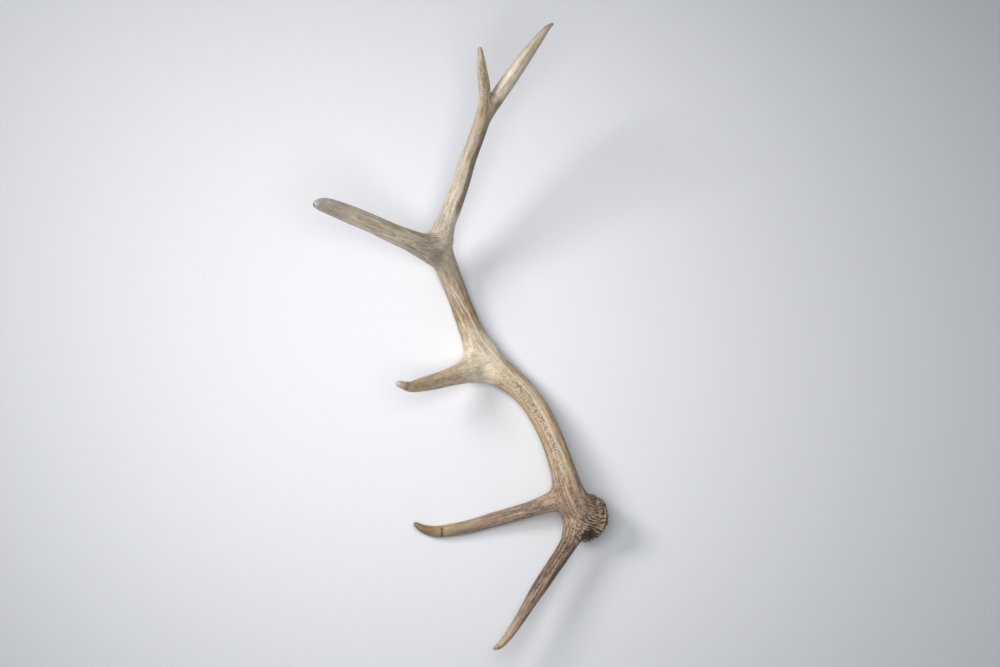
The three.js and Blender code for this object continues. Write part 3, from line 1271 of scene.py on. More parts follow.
def joined(
    first: Array,
    first_way: Array,
    second: Array,
    second_way: Array,
    radius: float | Array,
    fade: float,
) -> tuple[Array, Array]:
    """Joins two shapes and fills the hollow where they meet.

    Args:
        first: signed distances from the first shape.
        first_way: directions out of the first shape.
        second: signed distances from the second shape.
        second_way: directions out of the second shape.
        radius: how far from the crease the filling reaches.
        fade: how far apart two directions are, as one less their dot product, for full filling.

    Returns:
        Signed distances from the joined shape, and the directions out of it.
    """
    facing = np.einsum("ij,ij->i", first_way, second_way)
    reach = np.maximum(radius * np.clip((ALIKE - facing) / fade, 0, 1), 1e-3)
    overlap = np.maximum(1 - np.abs(first - second) / (1.5 * reach), 0)
    distance = np.minimum(first, second) - overlap**3 * reach / 4
    share = np.clip(0.5 + 0.5 * (second - first) / reach, 0, 1)[:, None]
    return distance, unit(first_way * share + second_way * (1 - share))


@dataclass
class Growth:
    """Relief and colours of the grown bone, gathered from the stems.

    The height holds the relief of gutters and pearls, and also the ridges and rings.
    """

    height: Array
    relief: Array
    ground: Array
    contrast: Array
    polish: Array
    pale: Array
    mark: Array

    @classmethod
    def empty(cls, count: int) -> "Growth":
        """Growth with nothing on it yet."""
        plain = [np.zeros(count) for _ in range(6)]
        return cls(plain[0], plain[1], np.zeros((count, 3)), *plain[2:])

    def add(self, own: Array, shares: Array, other: "Growth") -> None:
        """Adds a stem's growth at its own vertices, by its share in them."""
        for name in ("height", "relief", "contrast", "polish", "pale", "mark"):
            getattr(self, name)[own] += shares * getattr(other, name)
        self.ground[own] += shares[:, None] * other.ground


# Sizes of the patterns across, into and along a stem, in millimetres
DRIFT = (22.0, 22.0, 60.0)
WIDE_GUTTERS = (6.5, 6.5, 78.0)
FINE_GUTTERS = (3.4, 3.4, 34.0)
PATCH_EDGE = (9.0, 9.0, 26.0)
PEARLS = (3.1, 3.1, 4.8)
BLOTCHES = (17.0, 17.0, 55.0)
FLECKS = (5.0, 5.0, 30.0)

# How far the patterns drift, how high the gutters and pearls are, and how deep the colours go
DRIFT_WAY = (1.0, -0.7, 0.0)
DRIFT_REACH = 2.2
GUTTER_HEIGHT = 1.6
GUTTER_LEVEL = 0.42
WIDE_SHARE = 0.62
FINE_SHARE = 0.38
PEARL_HEIGHT = 1.7
PEARL_LEVEL = 0.28
PEARL_SEAM = 0.28
PATCH_CONTRAST = 0.85
BLOTCH_DEPTH = 0.16
FLECK_DEPTH = 0.14

# How raggedly and softly patches and rings end, in degrees round a stem or stations along it
PATCH_RAGGEDNESS = 9.0
PATCH_SIDES = (7.0, 6.0)
PATCH_START = (-0.5, 0.4)
PATCH_END = (-0.7, 0.4)
RING_FADE = (25.0, 10.0)

# How a thin ridge wanders and wears along a stem, in millimetres, and starts and ends in stations
RIDGE_WANDER_LENGTH = 19.0
RIDGE_WANDER = 1.1
RIDGE_WEAR_LENGTH = 11.0
RIDGE_END = 0.35
LEAST_RIDGE = 0.25


def stem_growth(stem: Stem, local: Local, normals: Array) -> Growth:
    """Gutters, pearls, ridges and colours of one stem.

    Args:
        stem: the beam or a tine.
        local: the points that it has a say in, as seen from it.
        normals: directions out of the skin at those points.

    Returns:
        Its growth at those points.
    """
    place, turn, flat = local.place, local.turn, local.flow
    drift = waves(flat / DRIFT, stem.seed) * DRIFT_REACH
    flat = flat + drift[:, None] * DRIFT_WAY
    names = ("gutter", "pearl", "contrast", "polish")
    gutter, pearl, contrast, polish = (stem.band_values(place, name) for name in names)
    wide = np.abs(waves(flat / WIDE_GUTTERS, stem.seed + 1))
    fine = np.abs(waves(flat / FINE_GUTTERS, stem.seed + 2))
    gutters = 1.5 * (WIDE_SHARE * wide + FINE_SHARE * fine) - GUTTER_LEVEL
    leaning = place - stem.lean * (0.5 - 0.5 * np.cos(np.radians(turn)))
    # Painted light and shade: skin that faces the pale, lit side takes the lit-side tone and skin facing
    # away the darker shaded-side tone, over the bone's own tones
    light = stem.band_colours(leaning, "pale_lit_side")
    dark = stem.band_colours(leaning, "dark_shaded_side")
    facing = step(*stem.shade_span, normals @ unit(PALE_AND_LIT_SIDE))[:, None]
    ground = dark + (light - dark) * facing
    strips = np.zeros(len(place))
    edge = waves(flat / PATCH_EDGE, stem.seed + 3) * PATCH_RAGGEDNESS
    for strip in stem.strips:
        cover = strip_cover(strip, place, turn + edge)
        strips = np.maximum(strips, strip.height * cover)
        blend = (strip.cover * cover)[:, None]
        ground = ground + (np.array(strip.tone.linear) - ground) * blend
        contrast = np.maximum(contrast, PATCH_CONTRAST * cover)
    near, seam = beads(flat / PEARLS, stem.seed + 4)
    pearls = np.clip(1.0 - 1.25 * near, 0, 1) * step(0.0, PEARL_SEAM, seam) - PEARL_LEVEL
    pearl_height = np.maximum(pearl, strips)
    relief = gutters * gutter * (1 - 0.6 * np.clip(strips, 0, 1)) * GUTTER_HEIGHT
    relief += pearls * pearl_height * PEARL_HEIGHT
    pale, mark, raised = (np.zeros(len(place)) for _ in range(3))
    for ridge in stem.ridges:
        shape = ridge_shape(stem, ridge, local)
        raised += ridge.height * shape
        pale = np.maximum(pale, ridge.paleness * shape)
        mark = np.maximum(mark, -ridge.paleness * shape)
    for ring in stem.rings:
        shape = ring_shape(ring, place, turn)
        raised += ring.height * shape
        mark = np.maximum(mark, ring.darkness * shape)
    blotch = waves(flat / BLOTCHES, stem.seed + 5)
    fleck = waves(flat / FLECKS, stem.seed + 6)
    shade = 1 + BLOTCH_DEPTH * blotch * (0.5 + contrast) + FLECK_DEPTH * fleck * contrast
    return Growth(
        height=relief + raised,
        relief=relief,
        ground=np.clip(ground * shade[:, None], 0, 1),
        contrast=contrast,
        polish=polish,
        pale=pale,
        mark=mark,
    )


def strip_cover(strip: Strip, place: Array, turn: Array) -> Array:
    """How far a pearled patch covers points at a place and turn, from 0 to 1."""
    (first, last), (start, end) = strip.places, strip.turns
    rising, falling = PATCH_SIDES
    across = step(start - rising, start + rising, turn) * (1 - step(end - falling, end + falling, turn))
    begun = step(first + PATCH_START[0], first + PATCH_START[1], place)
    return across * (begun * (1 - step(last + PATCH_END[0], last + PATCH_END[1], place)))


def ring_shape(ring: Ring, place: Array, turn: Array) -> Array:
    """How far a ring has risen, from 0 to 1, at points at a place and turn."""
    shape = bell(place - ring.place - ring.slant * np.sin(np.radians(turn)) * 0.5, ring.width)
    start, end = ring.turns
    if end - start >= 360:
        return shape
    outer, inner = RING_FADE
    return shape * (step(start - outer, start + inner, turn) * (1 - step(end - inner, end + outer, turn)))


def ridge_shape(stem: Stem, ridge: Ridge, local: Local) -> Array:
    """How far a thin ridge has risen, from 0 to 1, at a stem's points."""
    stops, turns = zip(*ridge.path, strict=True)
    place, steps, start = local.place, local.run[:, None], [0, turns[0], turns[-1]]
    wander = waves(steps * [1 / RIDGE_WANDER_LENGTH, 0, 0] + start, stem.seed + 7)
    worn = waves(steps * [1 / RIDGE_WEAR_LENGTH, 0, 0] + start, stem.seed + 8)
    gap = np.radians(local.turn - np.interp(place, stops, turns)) * local.radius
    shape = bell(gap + RIDGE_WANDER * wander, ridge.width)
    first, last = stops[0], stops[-1]
    shape *= step(first, first + RIDGE_END, place) * step(last, last - RIDGE_END, place)
    return shape * np.clip(0.8 + 0.5 * worn, LEAST_RIDGE, 1)


# Short wavy grooves in the crotch of the royal tine
CROTCH_MIDDLE = np.array([-287.0, 525.0, 62.0])
CROTCH_ALONG = unit(np.array([1.0, 0.16, 0.0]))
CROTCH_RISE = unit(np.array([-0.16, 1.0, 0.0]))
CROTCH_REACH = np.array([12.0, 9.0, 30.0])
CROTCH_GAP = 4.4
CROTCH_WAVE = 4.2
CROTCH_SWAY = 1.1
CROTCH_RAGGED_LENGTH = 8.0
CROTCH_DEPTH = 1.1
CROTCH_DARKNESS = 0.9
CROTCH_SEED = 901

# Thin pale lines that sweep round that crotch
SWEEP_MIDDLE = np.array([-303.0, 574.0, 66.0])
SWEEP_RADII = (42.0, 84.0)
SWEEP_FADE = (12.0, 16.0)
SWEEP_GAP = 6.5
SWEEP_WANDER_LENGTH = 15.0
SWEEP_WANDER = 1.6
SWEEP_HEIGHT = 0.45
SWEEP_PALENESS = 0.4
SWEEP_SEED = 902


def crotch_marks(points: Array) -> tuple[Array, Array, Array]:
    """Marks in the crotch of the royal tine: short wavy grooves, and lines that sweep round it.

    Args:
        points: places on the smooth skin.

    Returns:
        Their height, how dark the grooves are, and how pale the sweeping lines are.
    """
    offset = points - CROTCH_MIDDLE
    along, rise = offset @ CROTCH_ALONG, offset @ CROTCH_RISE
    near = bell(np.linalg.norm(offset / CROTCH_REACH, axis=1), 0.8)
    wavy = rise + CROTCH_SWAY * np.sin(along / CROTCH_WAVE)
    wavy = wavy + waves(points / CROTCH_RAGGED_LENGTH, CROTCH_SEED)
    grooves = np.clip(np.sin(wavy * (2 * math.pi / CROTCH_GAP)), 0, 1) ** 1.4 * near
    turned = points - SWEEP_MIDDLE
    wander = waves(points / SWEEP_WANDER_LENGTH, SWEEP_SEED) * SWEEP_WANDER
    radial = np.linalg.norm(turned[:, :2], axis=1) + wander
    (inner, outer), (rising, falling) = SWEEP_RADII, SWEEP_FADE
    ring = step(inner, inner + rising, radial) * (1 - step(outer - falling, outer, radial))
    ring *= step(0.15, -0.2, unit(turned)[:, 1]) * step(0.0, 30.0, points[:, 2]) * (1 - near)
    lines = np.clip(np.sin(radial * (2 * math.pi / SWEEP_GAP)), 0, 1) ** 2 * ring
    height = SWEEP_HEIGHT * lines - CROTCH_DEPTH * grooves
    return height, CROTCH_DARKNESS * grooves, SWEEP_PALENESS * lines


# ---------------------------------------------------------------------------------------------
# From the skin to the pieces


def lay_turn() -> Matrix:
    """Turn that lays the growth frame on the floor."""
    return Matrix.Rotation(LAY_PITCH, 3, "X") @ Matrix.Rotation(LAY_ROLL, 3, "Y")


def laid_down(points: Array) -> Array:
    """Points of the growth frame, in metres on the floor."""
    turn = np.array(lay_turn())
    return (points @ turn.T + np.array(LAY_SHIFT)) * MM


def face_groups(skin: Surface, sawn_edges: Array) -> Array:
    """Numbers the faces so that those on one side of the saw cuts share a number.

    Args:
        skin: the sawn skin, in triangles.
        sawn_edges: pairs of vertices along the cuts.

    Returns:
        One number for each face.
    """
    count = len(skin.places)
    pairs = np.sort(np.stack([skin.faces, np.roll(skin.faces, -1, axis=1)], axis=-1), axis=-1)
    keys = (pairs[..., 0] * count + pairs[..., 1]).ravel()
    owners = np.repeat(np.arange(len(skin.faces)), 3)
    order = np.argsort(keys, kind="stable")
    keys, owners = keys[order], owners[order]
    same = keys[1:] == keys[:-1]
    open_edge = ~np.isin(keys[1:], sawn_edges[:, 0] * count + sawn_edges[:, 1])
    first, second = owners[:-1][same & open_edge], owners[1:][same & open_edge]
    group = np.arange(len(skin.faces))
    while True:
        low = np.minimum(group[first], group[second])
        if np.array_equal(group[first], group[second]):
            return group
        np.minimum.at(group, group[first], low)
        np.minimum.at(group, group[second], low)
        while not np.array_equal(group, group[group]):
            group = group[group]


def open_loops(faces: Array, count: int) -> list[Array]:
    """Finds the holes in a skin of triangles.

    Args:
        faces: the triangles.
        count: how many vertices there are.

    Returns:
        The vertices round each hole, in the order that closes it.
    """
    pairs = np.stack([faces, np.roll(faces, -1, axis=1)], axis=-1).reshape(-1, 2)
    there, back = pairs[:, 0] * count + pairs[:, 1], pairs[:, 1] * count + pairs[:, 0]
    following = {end: start for start, end in pairs[~np.isin(back, there)].tolist()}
    loops = []
    while following:
        start, vertex = following.popitem()
        loop = [start]
        while vertex != start:
            loop.append(vertex)
            vertex = following.pop(vertex)
        loops.append(np.array(loop))
    return loops


def within_box(points: Array) -> Array:
    """Points kept just inside the box of the solid antler."""
    low, high = (np.array(corner) for corner in cad_box)
    kept = np.clip(points, low, high)
    moved = np.linalg.norm(kept - points, axis=1)
    log.info("kept in the box: %d vertices, by %.2f mm at most", (moved > 0).sum(), moved.max() / MM)
    return kept


@dataclass
class Workshop:
    """Makes the sawn pieces into Blender objects.

    The groups number the skin's faces by the piece that they belong to. The middles are those
    of the same faces on the smooth skin in the growth frame.
    """

    skin: Surface
    look: Look
    normals: Array
    groups: Array
    middles: Array

    def group_of(self, piece: Piece) -> int:
        """Number of the faces nearest to a place inside a piece."""
        seed = piece.stem.sections(np.array([float(piece.place)])).centre[0]
        return int(self.groups[np.argmin(np.linalg.norm(self.middles - seed, axis=1))])

    def closed(self, piece: Piece) -> tuple[Surface, Array, dict[str, Array]]:
        """Takes one piece out of the skin and closes its sawn ends with flat fans.

        Args:
            piece: which piece.

        Returns:
            Its surface, the normals at the corners of its faces, and its look at each vertex.
        """
        faces = self.skin.faces[self.groups == self.group_of(piece)]
        used, flat = np.unique(faces, return_inverse=True)
        faces = flat.reshape(-1, 3)
        places, normals = self.skin.places[used], self.normals[used]
        look = {name: getattr(self.look, name)[used] for name in Look.__dataclass_fields__}
        caps, cap_normals = [], []
        for loop in open_loops(faces, len(places)):
            middle = places[loop].mean(axis=0)
            hub = len(places)
            places = np.vstack([places, middle])
            fan = np.stack([loop, np.roll(loop, -1), np.full(len(loop), hub)], axis=1)
            sides = places[fan[:, 1]] - places[fan[:, 0]]
            way = np.cross(sides, middle - places[fan[:, 0]]).sum(axis=0)
            caps.append(fan)
            cap_normals.append(np.repeat(unit(way)[None], 3 * len(fan), axis=0))
            for name, values in look.items():
                look[name] = np.concatenate([values, values[loop].mean(axis=0)[None]])
        corner_normals = np.concatenate([normals[faces.ravel()], *cap_normals])
        return Surface(places, np.concatenate([faces, *caps])), corner_normals, look

    def made(self, piece: Piece, material: bpy.types.Material) -> bpy.types.Object:
        """Closed object of one piece, dressed and riding on the antler.

        Args:
            piece: which piece.
            material: its finish.

        Returns:
            The object.
        """
        surface, corner_normals, look = self.closed(piece)
        mesh = bpy.data.meshes.new(piece.node + "_skin")
        fill_mesh(mesh, surface, corner_normals)
        for name, values in look.items():
            write_attribute(mesh, name, values)
        mesh.materials.append(material)
        made = bpy.data.objects.new(piece.node + "_skin", mesh)
        bpy.context.scene.collection.objects.link(made)
        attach(made, BODY)
        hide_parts(piece.node)
        log.info("%s: %d triangles, slot %s", made.name, len(surface.faces), piece.slot.value)
        return made


def fill_mesh(mesh: bpy.types.Mesh, surface: Surface, corner_normals: Array) -> None:
    """Fills an empty mesh with triangles, smooth with the given normals at their corners."""
    count = len(surface.faces)
    mesh.vertices.add(len(surface.places))
    mesh.vertices.foreach_set("co", surface.places.astype(np.float32).ravel())
    mesh.loops.add(3 * count)
    mesh.loops.foreach_set("vertex_index", surface.faces.astype(np.int32).ravel())
    mesh.polygons.add(count)
    mesh.polygons.foreach_set("loop_start", np.arange(0, 3 * count, 3, dtype=np.int32))
    mesh.polygons.foreach_set("use_smooth", np.ones(count, bool))
    mesh.update(calc_edges=True)
    mesh.normals_split_custom_set(corner_normals.tolist())


def write_attribute(mesh: bpy.types.Mesh, name: str, values: Array) -> None:
    """Stores a number, a vector or a colour for each vertex."""
    if values.ndim == 1:
        mesh.attributes.new(name, "FLOAT", "POINT").data.foreach_set("value", values.astype(np.float32))
    elif name == "ground":
        solid = np.concatenate([values, np.ones((len(values), 1))], axis=1).astype(np.float32)
        mesh.attributes.new(name, "FLOAT_COLOR", "POINT").data.foreach_set("color", solid.ravel())
    else:
        flat = values.astype(np.float32).ravel()
        mesh.attributes.new(name, "FLOAT_VECTOR", "POINT").data.foreach_set("vector", flat)


# ---------------------------------------------------------------------------------------------
# Finishes


class Effect(Enum):
    """Shader node groups that every finish of the bone uses, in the order that they are placed."""

    GRAIN = "Lengthwise grain"
    PORES = "Pores and specks"
    COLOUR = "Weathered bone colour"
    SHEEN = "Handled sheen"
    RELIEF = "Fine relief"


class Graph:
    """Makes and joins the shader nodes of one tree."""

    def __init__(self, tree: bpy.types.NodeTree) -> None:
        """Keeps the tree."""
        self.tree = tree

    def node(self, kind: str, inputs: dict | None = None, **settings: object) -> bpy.types.Node:
        """Adds a node.

        Args:
            kind: the node's type, without ShaderNode.
            inputs: for each input, by name or number, a value or the output that feeds it.
            settings: the node's own properties.

        Returns:
            The node.
        """
        made = self.tree.nodes.new("ShaderNode" + kind)
        for name, value in settings.items():
            setattr(made, name, value)
        self.feed(made, inputs or {})
        return made

    def feed(self, node: bpy.types.Node, inputs: dict) -> None:
        """Sets inputs of a node to values, or joins outputs to them."""
        for name, value in inputs.items():
            if isinstance(value, bpy.types.NodeSocket):
                self.tree.links.new(value, node.inputs[name])
            else:
                node.inputs[name].default_value = value

    def math(self, operation: str, *values: object) -> bpy.types.NodeSocket:
        """Output of an operation on numbers."""
        return self.node("Math", dict(enumerate(values)), operation=operation).outputs[0]

    def product(self, *factors: object) -> bpy.types.NodeSocket:
        """Output of a product of numbers."""
        return reduce(partial(self.math, "MULTIPLY"), factors)

    def total(self, *terms: object) -> bpy.types.NodeSocket:
        """Output of a sum of numbers."""
        return reduce(partial(self.math, "ADD"), terms)

    def swing(self, value: object, middle: float, size: object) -> bpy.types.NodeSocket:
        """Output of how far a number is from a middle, times a size."""
        return self.product(self.math("SUBTRACT", value, middle), size)

    def mix(self, share: object, first: object, second: object) -> bpy.types.NodeSocket:
        """Output of a mix of two colours."""
        return self.node("Mix", {0: share, 6: first, 7: second}, data_type="RGBA").outputs[2]

    def vector(self, operation: str, inputs: dict) -> bpy.types.NodeSocket:
        """Output of an operation on vectors."""
        return self.node("VectorMath", inputs, operation=operation).outputs[0]

    def rise(
        self, value: object, low: float, high: float, first: float = 0.0, last: float = 1.0
    ) -> bpy.types.NodeSocket:
        """Output that goes smoothly from first to last as the input goes from low to high."""
        span = {"Value": value, "From Min": low, "From Max": high, "To Min": first, "To Max": last}
        return self.node("MapRange", span, interpolation_type="SMOOTHSTEP").outputs["Result"]

    def noise(self, place: object, scale: float, detail: float, **more: float) -> bpy.types.NodeSocket:
        """Output of a cloudy texture."""
        return self.node("TexNoise", {"Vector": place, "Scale": scale, "Detail": detail} | more).outputs[0]

    def drawn_out(self, flow: object, width: object, share: object) -> bpy.types.NodeSocket:
        """Output of the flow counted in widths, and only by a share of that along the bone."""
        across = self.math("DIVIDE", 1.0, width)
        sizes = self.node("CombineXYZ", {"X": across, "Y": across, "Z": self.product(across, share)})
        return self.vector("MULTIPLY", {0: flow, 1: sizes.outputs[0]})

    def attribute(self, name: str, output: str = "Fac") -> bpy.types.NodeSocket:
        """Output of what the mesh holds under a name."""
        return self.node("Attribute", attribute_name=name).outputs[output]


@dataclass
class EffectGroups:
    """The shader node groups, each built once, and the sizes and strengths that they share."""

    streak_scale: float = 0.6
    fibre_scale: float = 2.1
    mottle_scale: tuple[float, float, float] = (0.24, 0.24, 0.1)
    cloud_scale: float = 0.055
    pore_share: float = 0.38
    pore_patch_scale: float = 0.16
    cloud_depth: float = 0.14
    mottle_depth: float = 0.34
    crest_cover: float = 0.42
    line_cover: float = 0.85
    polish_gloss: float = -0.2
    crest_gloss: float = -0.08
    trough_dullness: float = 0.18
    streak_dullness: float = 0.12
    least_roughness: float = 0.2
    fibre_height: float = 0.6
    cloud_span: tuple[float, float] = (0.3, 0.7)
    mottle_span: tuple[float, float] = (0.32, 0.68)
    pore_span: tuple[float, float] = (0.12, 0.42)
    pore_patch_span: tuple[float, float] = (0.42, 0.62)
    wear_span: tuple[float, float] = (0.2, 1.0)
    worn_relief: float = 0.3
    streak_middle: float = 0.55
    trough_streaks: float = 0.4
    trees: dict[Effect, bpy.types.NodeTree] = field(init=False)

    def __post_init__(self) -> None:
        """Builds all the groups."""
        self.trees = {
            Effect.GRAIN: self.grain(),
            Effect.PORES: self.pores(),
            Effect.COLOUR: self.colour(),
            Effect.SHEEN: self.sheen(),
            Effect.RELIEF: self.relief(),
        }

    def start(
        self, effect: Effect, inputs: dict[str, str], outputs: dict[str, str]
    ) -> tuple[Graph, dict[str, bpy.types.NodeSocket], bpy.types.Node]:
        """Starts a group.

        Args:
            effect: which effect it is.
            inputs: the names of the inputs of each type, with commas between them.
            outputs: the names of the outputs of each type, in the same way.

        Returns:
            A graph to fill the group with, its inputs by name, and its output node.
        """
        tree = bpy.data.node_groups.new(effect.value, "ShaderNodeTree")
        for side, sockets in (("INPUT", inputs), ("OUTPUT", outputs)):
            for kind, names in sockets.items():
                for name in names.split(", "):
                    tree.interface.new_socket(name, in_out=side, socket_type="NodeSocket" + kind)
        given = {socket.name: socket for socket in tree.nodes.new("NodeGroupInput").outputs}
        return Graph(tree), given, tree.nodes.new("NodeGroupOutput")

    def grain(self) -> bpy.types.NodeTree:
        """Streaks and fibres that run along the bone, and mottling and clouds that don't."""
        graph, given, result = self.start(
            Effect.GRAIN,
            {"Vector": "Flow", "Float": "Width, Stretch"},
            {"Float": "Streaks, Fibres, Mottle, Clouds"},
        )
        flow = given["Flow"]
        along = graph.drawn_out(flow, given["Width"], graph.math("DIVIDE", 1.0, given["Stretch"]))
        spotted = graph.vector("MULTIPLY", {0: flow, 1: self.mottle_scale})
        textures = {
            "Streaks": graph.noise(along, self.streak_scale, 3.0, Distortion=0.4),
            "Fibres": graph.noise(along, self.fibre_scale, 2.0),
            "Mottle": graph.noise(spotted, 1.0, 3.0, Roughness=0.6),
            "Clouds": graph.noise(flow, self.cloud_scale, 3.0),
        }
        for name, texture in textures.items():
            span = self.mottle_span if name == "Mottle" else self.cloud_span
            graph.feed(result, {name: graph.rise(texture, *span)})
        return graph.tree

    def pores(self) -> bpy.types.NodeTree:
        """Small dark pores, drawn out along the bone, in patches."""
        graph, given, result = self.start(
            Effect.PORES, {"Vector": "Flow", "Float": "Size, Cover"}, {"Float": "Specks"}
        )
        along = graph.drawn_out(given["Flow"], given["Size"], self.pore_share)
        cells = graph.node("TexVoronoi", {"Vector": along, "Scale": 1.0, "Randomness": 1.0})
        pore = graph.rise(cells.outputs["Distance"], *self.pore_span, 1.0, 0.0)
        thick = graph.math("SUBTRACT", given["Cover"], 0.5)
        patches = graph.total(graph.noise(along, self.pore_patch_scale, 2.0), thick)
        patchy = graph.rise(patches, *self.pore_patch_span)
        graph.feed(result, {"Specks": graph.product(pore, patchy)})
        return graph.tree

    def colour(self) -> bpy.types.NodeTree:
        """Bone colour with pale crests, dark troughs, streaks, specks, lines and marks."""
        graph, given, result = self.start(
            Effect.COLOUR,
            {
                "Color": "Ground, Crest Tone, Dark Tone, Line Tone",
                "Float": "Crown, Trough, Line, Mark, Grain, Streaks, Mottle, Clouds, Specks, Streak Depth",
            },
            {"Color": "Colour"},
        )
        grain = given["Grain"]
        depth = graph.product(given["Streak Depth"], grain)
        streak = graph.swing(given["Streaks"], self.streak_middle, depth)
        cloud = graph.swing(given["Clouds"], 0.5, self.cloud_depth)
        mottle = graph.product(graph.swing(given["Mottle"], 0.5, grain), self.mottle_depth)
        shade = graph.total(1.0, streak, cloud, mottle)
        colour = graph.vector("SCALE", {0: given["Ground"], "Scale": shade})
        streaks = graph.product(given["Streaks"], self.trough_streaks)
        streaky = graph.total(streaks, 1.0 - self.trough_streaks)
        layers = (
            (graph.product(given["Crown"], self.crest_cover), "Crest Tone"),
            (graph.product(given["Trough"], streaky), "Dark Tone"),
            (graph.product(given["Specks"], grain), "Dark Tone"),
            (graph.product(given["Line"], self.line_cover), "Line Tone"),
            (given["Mark"], "Dark Tone"),
        )
        for cover, tone in layers:
            colour = graph.mix(cover, colour, given[tone])
        graph.feed(result, {"Colour": colour})
        return graph.tree

    def sheen(self) -> bpy.types.NodeTree:
        """Roughness: handled crests and tips shine, troughs are dull."""
        graph, given, result = self.start(
            Effect.SHEEN, {"Float": "Roughness, Polish, Crown, Trough, Streaks"}, {"Float": "Roughness"}
        )
        total = graph.total(
            given["Roughness"],
            graph.product(given["Polish"], self.polish_gloss),
            graph.product(given["Crown"], self.crest_gloss),
            graph.product(given["Trough"], self.trough_dullness),
            graph.swing(given["Streaks"], 0.5, self.streak_dullness),
        )
        clamped = graph.node("Clamp", {"Value": total, "Min": self.least_roughness, "Max": 1.0})
        graph.feed(result, {"Roughness": clamped.outputs[0]})
        return graph.tree

    def relief(self) -> bpy.types.NodeTree:
        """Height of the fibres and pores, which wear off where the bone is polished."""
        graph, given, result = self.start(
            Effect.RELIEF, {"Float": "Fibres, Specks, Grain, Polish"}, {"Float": "Height"}
        )
        left = graph.rise(given["Polish"], *self.wear_span, 1.0, self.worn_relief)
        raised = graph.math("SUBTRACT", graph.product(given["Fibres"], self.fibre_height), given["Specks"])
        graph.feed(result, {"Height": graph.product(raised, given["Grain"], left)})
        return graph.tree


@dataclass(frozen=True)
class BoneFinish:
    """Finish of one stretch of bone; the sizes are in millimetres."""

    slot: Slot
    crest: Tone
    dark: Tone
    line: Tone
    streak_width: float
    streak_stretch: float
    streak_depth: float
    pore_cover: float
    roughness: float
    relief: float
    pore_size: float = 1.5
    refraction: float = 1.5

    def material(self, effects: EffectGroups) -> bpy.types.Material:
        """Builds the finish.

        Args:
            effects: the shader node groups.

        Returns:
            The material.
        """
        material = bpy.data.materials.new(self.slot.value)
        material.use_nodes = True
        material.node_tree.nodes.clear()
        graph = Graph(material.node_tree)
        wires: dict[str, object] = {
            "Flow": graph.attribute("flow", "Vector"),
            "Ground": graph.attribute("ground", "Color"),
            "Line": graph.attribute("pale"),
            "Width": self.streak_width,
            "Stretch": self.streak_stretch,
            "Streak Depth": self.streak_depth,
            "Size": self.pore_size,
            "Cover": self.pore_cover,
            "Roughness": self.roughness,
        }
        for name in ("crown", "trough", "mark", "polish", "grain"):
            wires[name.title()] = graph.attribute(name)
        for name in ("crest", "dark", "line"):
            wires[name.title() + " Tone"] = (*getattr(self, name).linear, 1.0)
        for effect in Effect:
            placed = graph.node("Group", node_tree=effects.trees[effect])
            graph.feed(placed, {name: wires[name] for name in placed.inputs.keys()})
            wires.update(placed.outputs.items())
        height = {"Height": wires["Height"], "Distance": self.relief * MM, "Strength": 1.0}
        surface = {
            "Base Color": wires["Colour"],
            "Roughness": wires["Roughness"],
            "Normal": graph.node("Bump", height).outputs["Normal"],
            "IOR": self.refraction,
        }
        shader = graph.node("BsdfPrincipled", surface)
        graph.node("OutputMaterial", {"Surface": shader.outputs[0]})
        return material


FINISHES = (
    BoneFinish(
        Slot.BURR, Tone.PALE_TAN, Tone.DARK_UMBER, Tone.PALE_TAN,
        streak_width=1.6, streak_stretch=9.0, streak_depth=0.45, pore_cover=0.55,
        roughness=0.68, relief=0.35,
    ),
    BoneFinish(
        Slot.BROW, Tone.PALE_TAN, Tone.DARK_UMBER, Tone.PALE_TAN,
        streak_width=1.3, streak_stretch=16.0, streak_depth=0.5, pore_cover=0.55,
        roughness=0.62, relief=0.3,
    ),
    BoneFinish(
        Slot.BROWN, Tone.PALE_TAN, Tone.DARK_UMBER, Tone.CREAM,
        streak_width=1.3, streak_stretch=16.0, streak_depth=0.6, pore_cover=0.48,
        roughness=0.6, relief=0.28,
    ),
    BoneFinish(
        Slot.TAN, Tone.CREAM, Tone.UMBER, Tone.IVORY,
        streak_width=1.2, streak_stretch=18.0, streak_depth=0.52, pore_cover=0.55,
        roughness=0.56, relief=0.25,
    ),
    BoneFinish(
        Slot.TAUPE, Tone.CREAM, Tone.DARK_UMBER, Tone.CREAM,
        streak_width=1.3, streak_stretch=20.0, streak_depth=0.68, pore_cover=0.46,
        roughness=0.56, relief=0.25,
    ),
    BoneFinish(
        Slot.IVORY, Tone.IVORY, Tone.UMBER, Tone.IVORY,
        streak_width=1.2, streak_stretch=20.0, streak_depth=0.42, pore_cover=0.44,
        roughness=0.5, relief=0.2,
    ),
)


# ---------------------------------------------------------------------------------------------
# Studio


@dataclass(frozen=True)
class Lamp:
    """Round soft lamp, placed in the growth frame: a spot where it has a cone, in degrees."""

    name: str
    place: tuple[float, float, float]
    target: tuple[float, float, float]
    size: float
    power: float
    colour: tuple[float, float, float]
    cone: float | None = None

    def hang(self) -> None:
        """Hangs the lamp and turns it to its target."""
        if self.cone is None:
            light = bpy.data.lights.new(self.name, "AREA")
            light.shape = "DISK"
            light.size = self.size
        else:
            light = bpy.data.lights.new(self.name, "SPOT")
            light.shadow_soft_size = self.size / 2
            light.spot_size = math.radians(self.cone)
            light.spot_blend = 1.0
        light.energy = self.power
        light.color = self.colour
        place, target = (Vector(laid_down(np.array(spot))) for spot in (self.place, self.target))
        turn = (target - place).to_track_quat("-Z", "Y").to_matrix().to_4x4()
        lamp = bpy.data.objects.new(self.name, light)
        lamp.matrix_world = Matrix.Translation(place) @ turn
        bpy.context.scene.collection.objects.link(lamp)


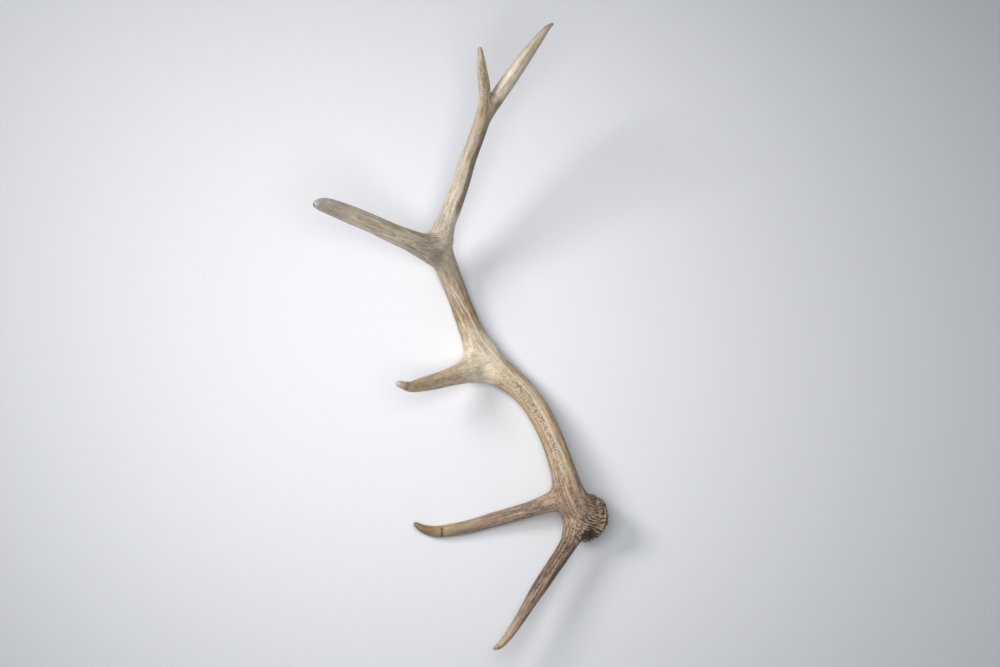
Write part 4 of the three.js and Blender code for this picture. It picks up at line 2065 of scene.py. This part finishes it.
@dataclass
class Studio:
    """Pale floor, two soft lamps, a sky and a camera that looks down on the antler."""

    floor_size: float = 120.0
    floor_colour: tuple[float, float, float] = (0.79, 0.81, 0.85)
    floor_roughness: float = 0.9
    floor_gloss: float = 0.2
    sky_colour: tuple[float, float, float] = (0.82, 0.90, 1.0)
    sky_strength: float = 0.20
    lamps: tuple[Lamp, ...] = (
        Lamp("side_lamp", (-2950, 2150, 3200), (-70, 530, 0), 1.6, 690.0, (1.0, 0.97, 0.93), 34.0),
        Lamp("top_lamp", (-240, 335, 1300), (-240, 335, 0), 0.8, 11.0, (1.0, 0.98, 0.96)),
    )
    camera_place: tuple[float, float, float] = (-167.66, 346.56, 2602.0)
    camera_lens: float = 50.0

    def build(self) -> None:
        """Sets up the floor, the lamps, the sky and the camera."""
        self.floor()
        for lamp in self.lamps:
            lamp.hang()
        self.sky()
        self.camera()

    def floor(self) -> None:
        """Lays a plain floor at height 0."""
        half = self.floor_size / 2
        corners = [(x * half, y * half, 0.0) for x, y in ((-1, -1), (1, -1), (1, 1), (-1, 1))]
        mesh = bpy.data.meshes.new("floor")
        mesh.from_pydata(corners, [], [(0, 1, 2, 3)])
        material = bpy.data.materials.new("pale_floor")
        material.use_nodes = True
        paint = material.node_tree.nodes["Principled BSDF"]
        paint.inputs["Base Color"].default_value = (*self.floor_colour, 1.0)
        paint.inputs["Roughness"].default_value = self.floor_roughness
        paint.inputs["Specular IOR Level"].default_value = self.floor_gloss
        mesh.materials.append(material)
        floor = bpy.data.objects.new("floor", mesh)
        bpy.context.scene.collection.objects.link(floor)

    def sky(self) -> None:
        """Fills the shadows with a pale sky."""
        world = bpy.data.worlds.new("sky")
        world.use_nodes = True
        sky = world.node_tree.nodes["Background"]
        sky.inputs["Color"].default_value = (*self.sky_colour, 1.0)
        sky.inputs["Strength"].default_value = self.sky_strength
        bpy.context.scene.world = world

    def camera(self) -> None:
        """Stands the camera over the antler, upright with its growth frame."""
        lens = bpy.data.cameras.new("camera")
        lens.lens = self.camera_lens
        camera = bpy.data.objects.new("camera", lens)
        place = Vector(laid_down(np.array(self.camera_place)))
        camera.matrix_world = Matrix.Translation(place) @ lay_turn().to_4x4()
        bpy.context.scene.collection.objects.link(camera)
        bpy.context.scene.camera = camera
        bpy.context.scene.view_settings.view_transform = "Standard"


def main() -> None:
    """Grows the antler, saws and dresses it, and sets up the studio."""
    logging.basicConfig(level=logging.INFO, format="%(name)s: %(message)s", force=True)
    Studio().build()
    antler = Antler()
    skin, sawn_edges = antler.sawn(antler.grown())
    log.info("smooth skin: %d triangles", len(skin.faces))
    rough, look = antler.dressed(skin)
    rough.places = within_box(laid_down(rough.places))
    middles = skin.places[skin.faces].mean(axis=1)
    workshop = Workshop(rough, look, rough.normals(), face_groups(skin, sawn_edges), middles)
    effects = EffectGroups()
    materials = {finish.slot: finish.material(effects) for finish in FINISHES}
    for piece in PIECES:
        workshop.made(piece, materials[piece.slot])


if __name__ == "__main__":
    main()
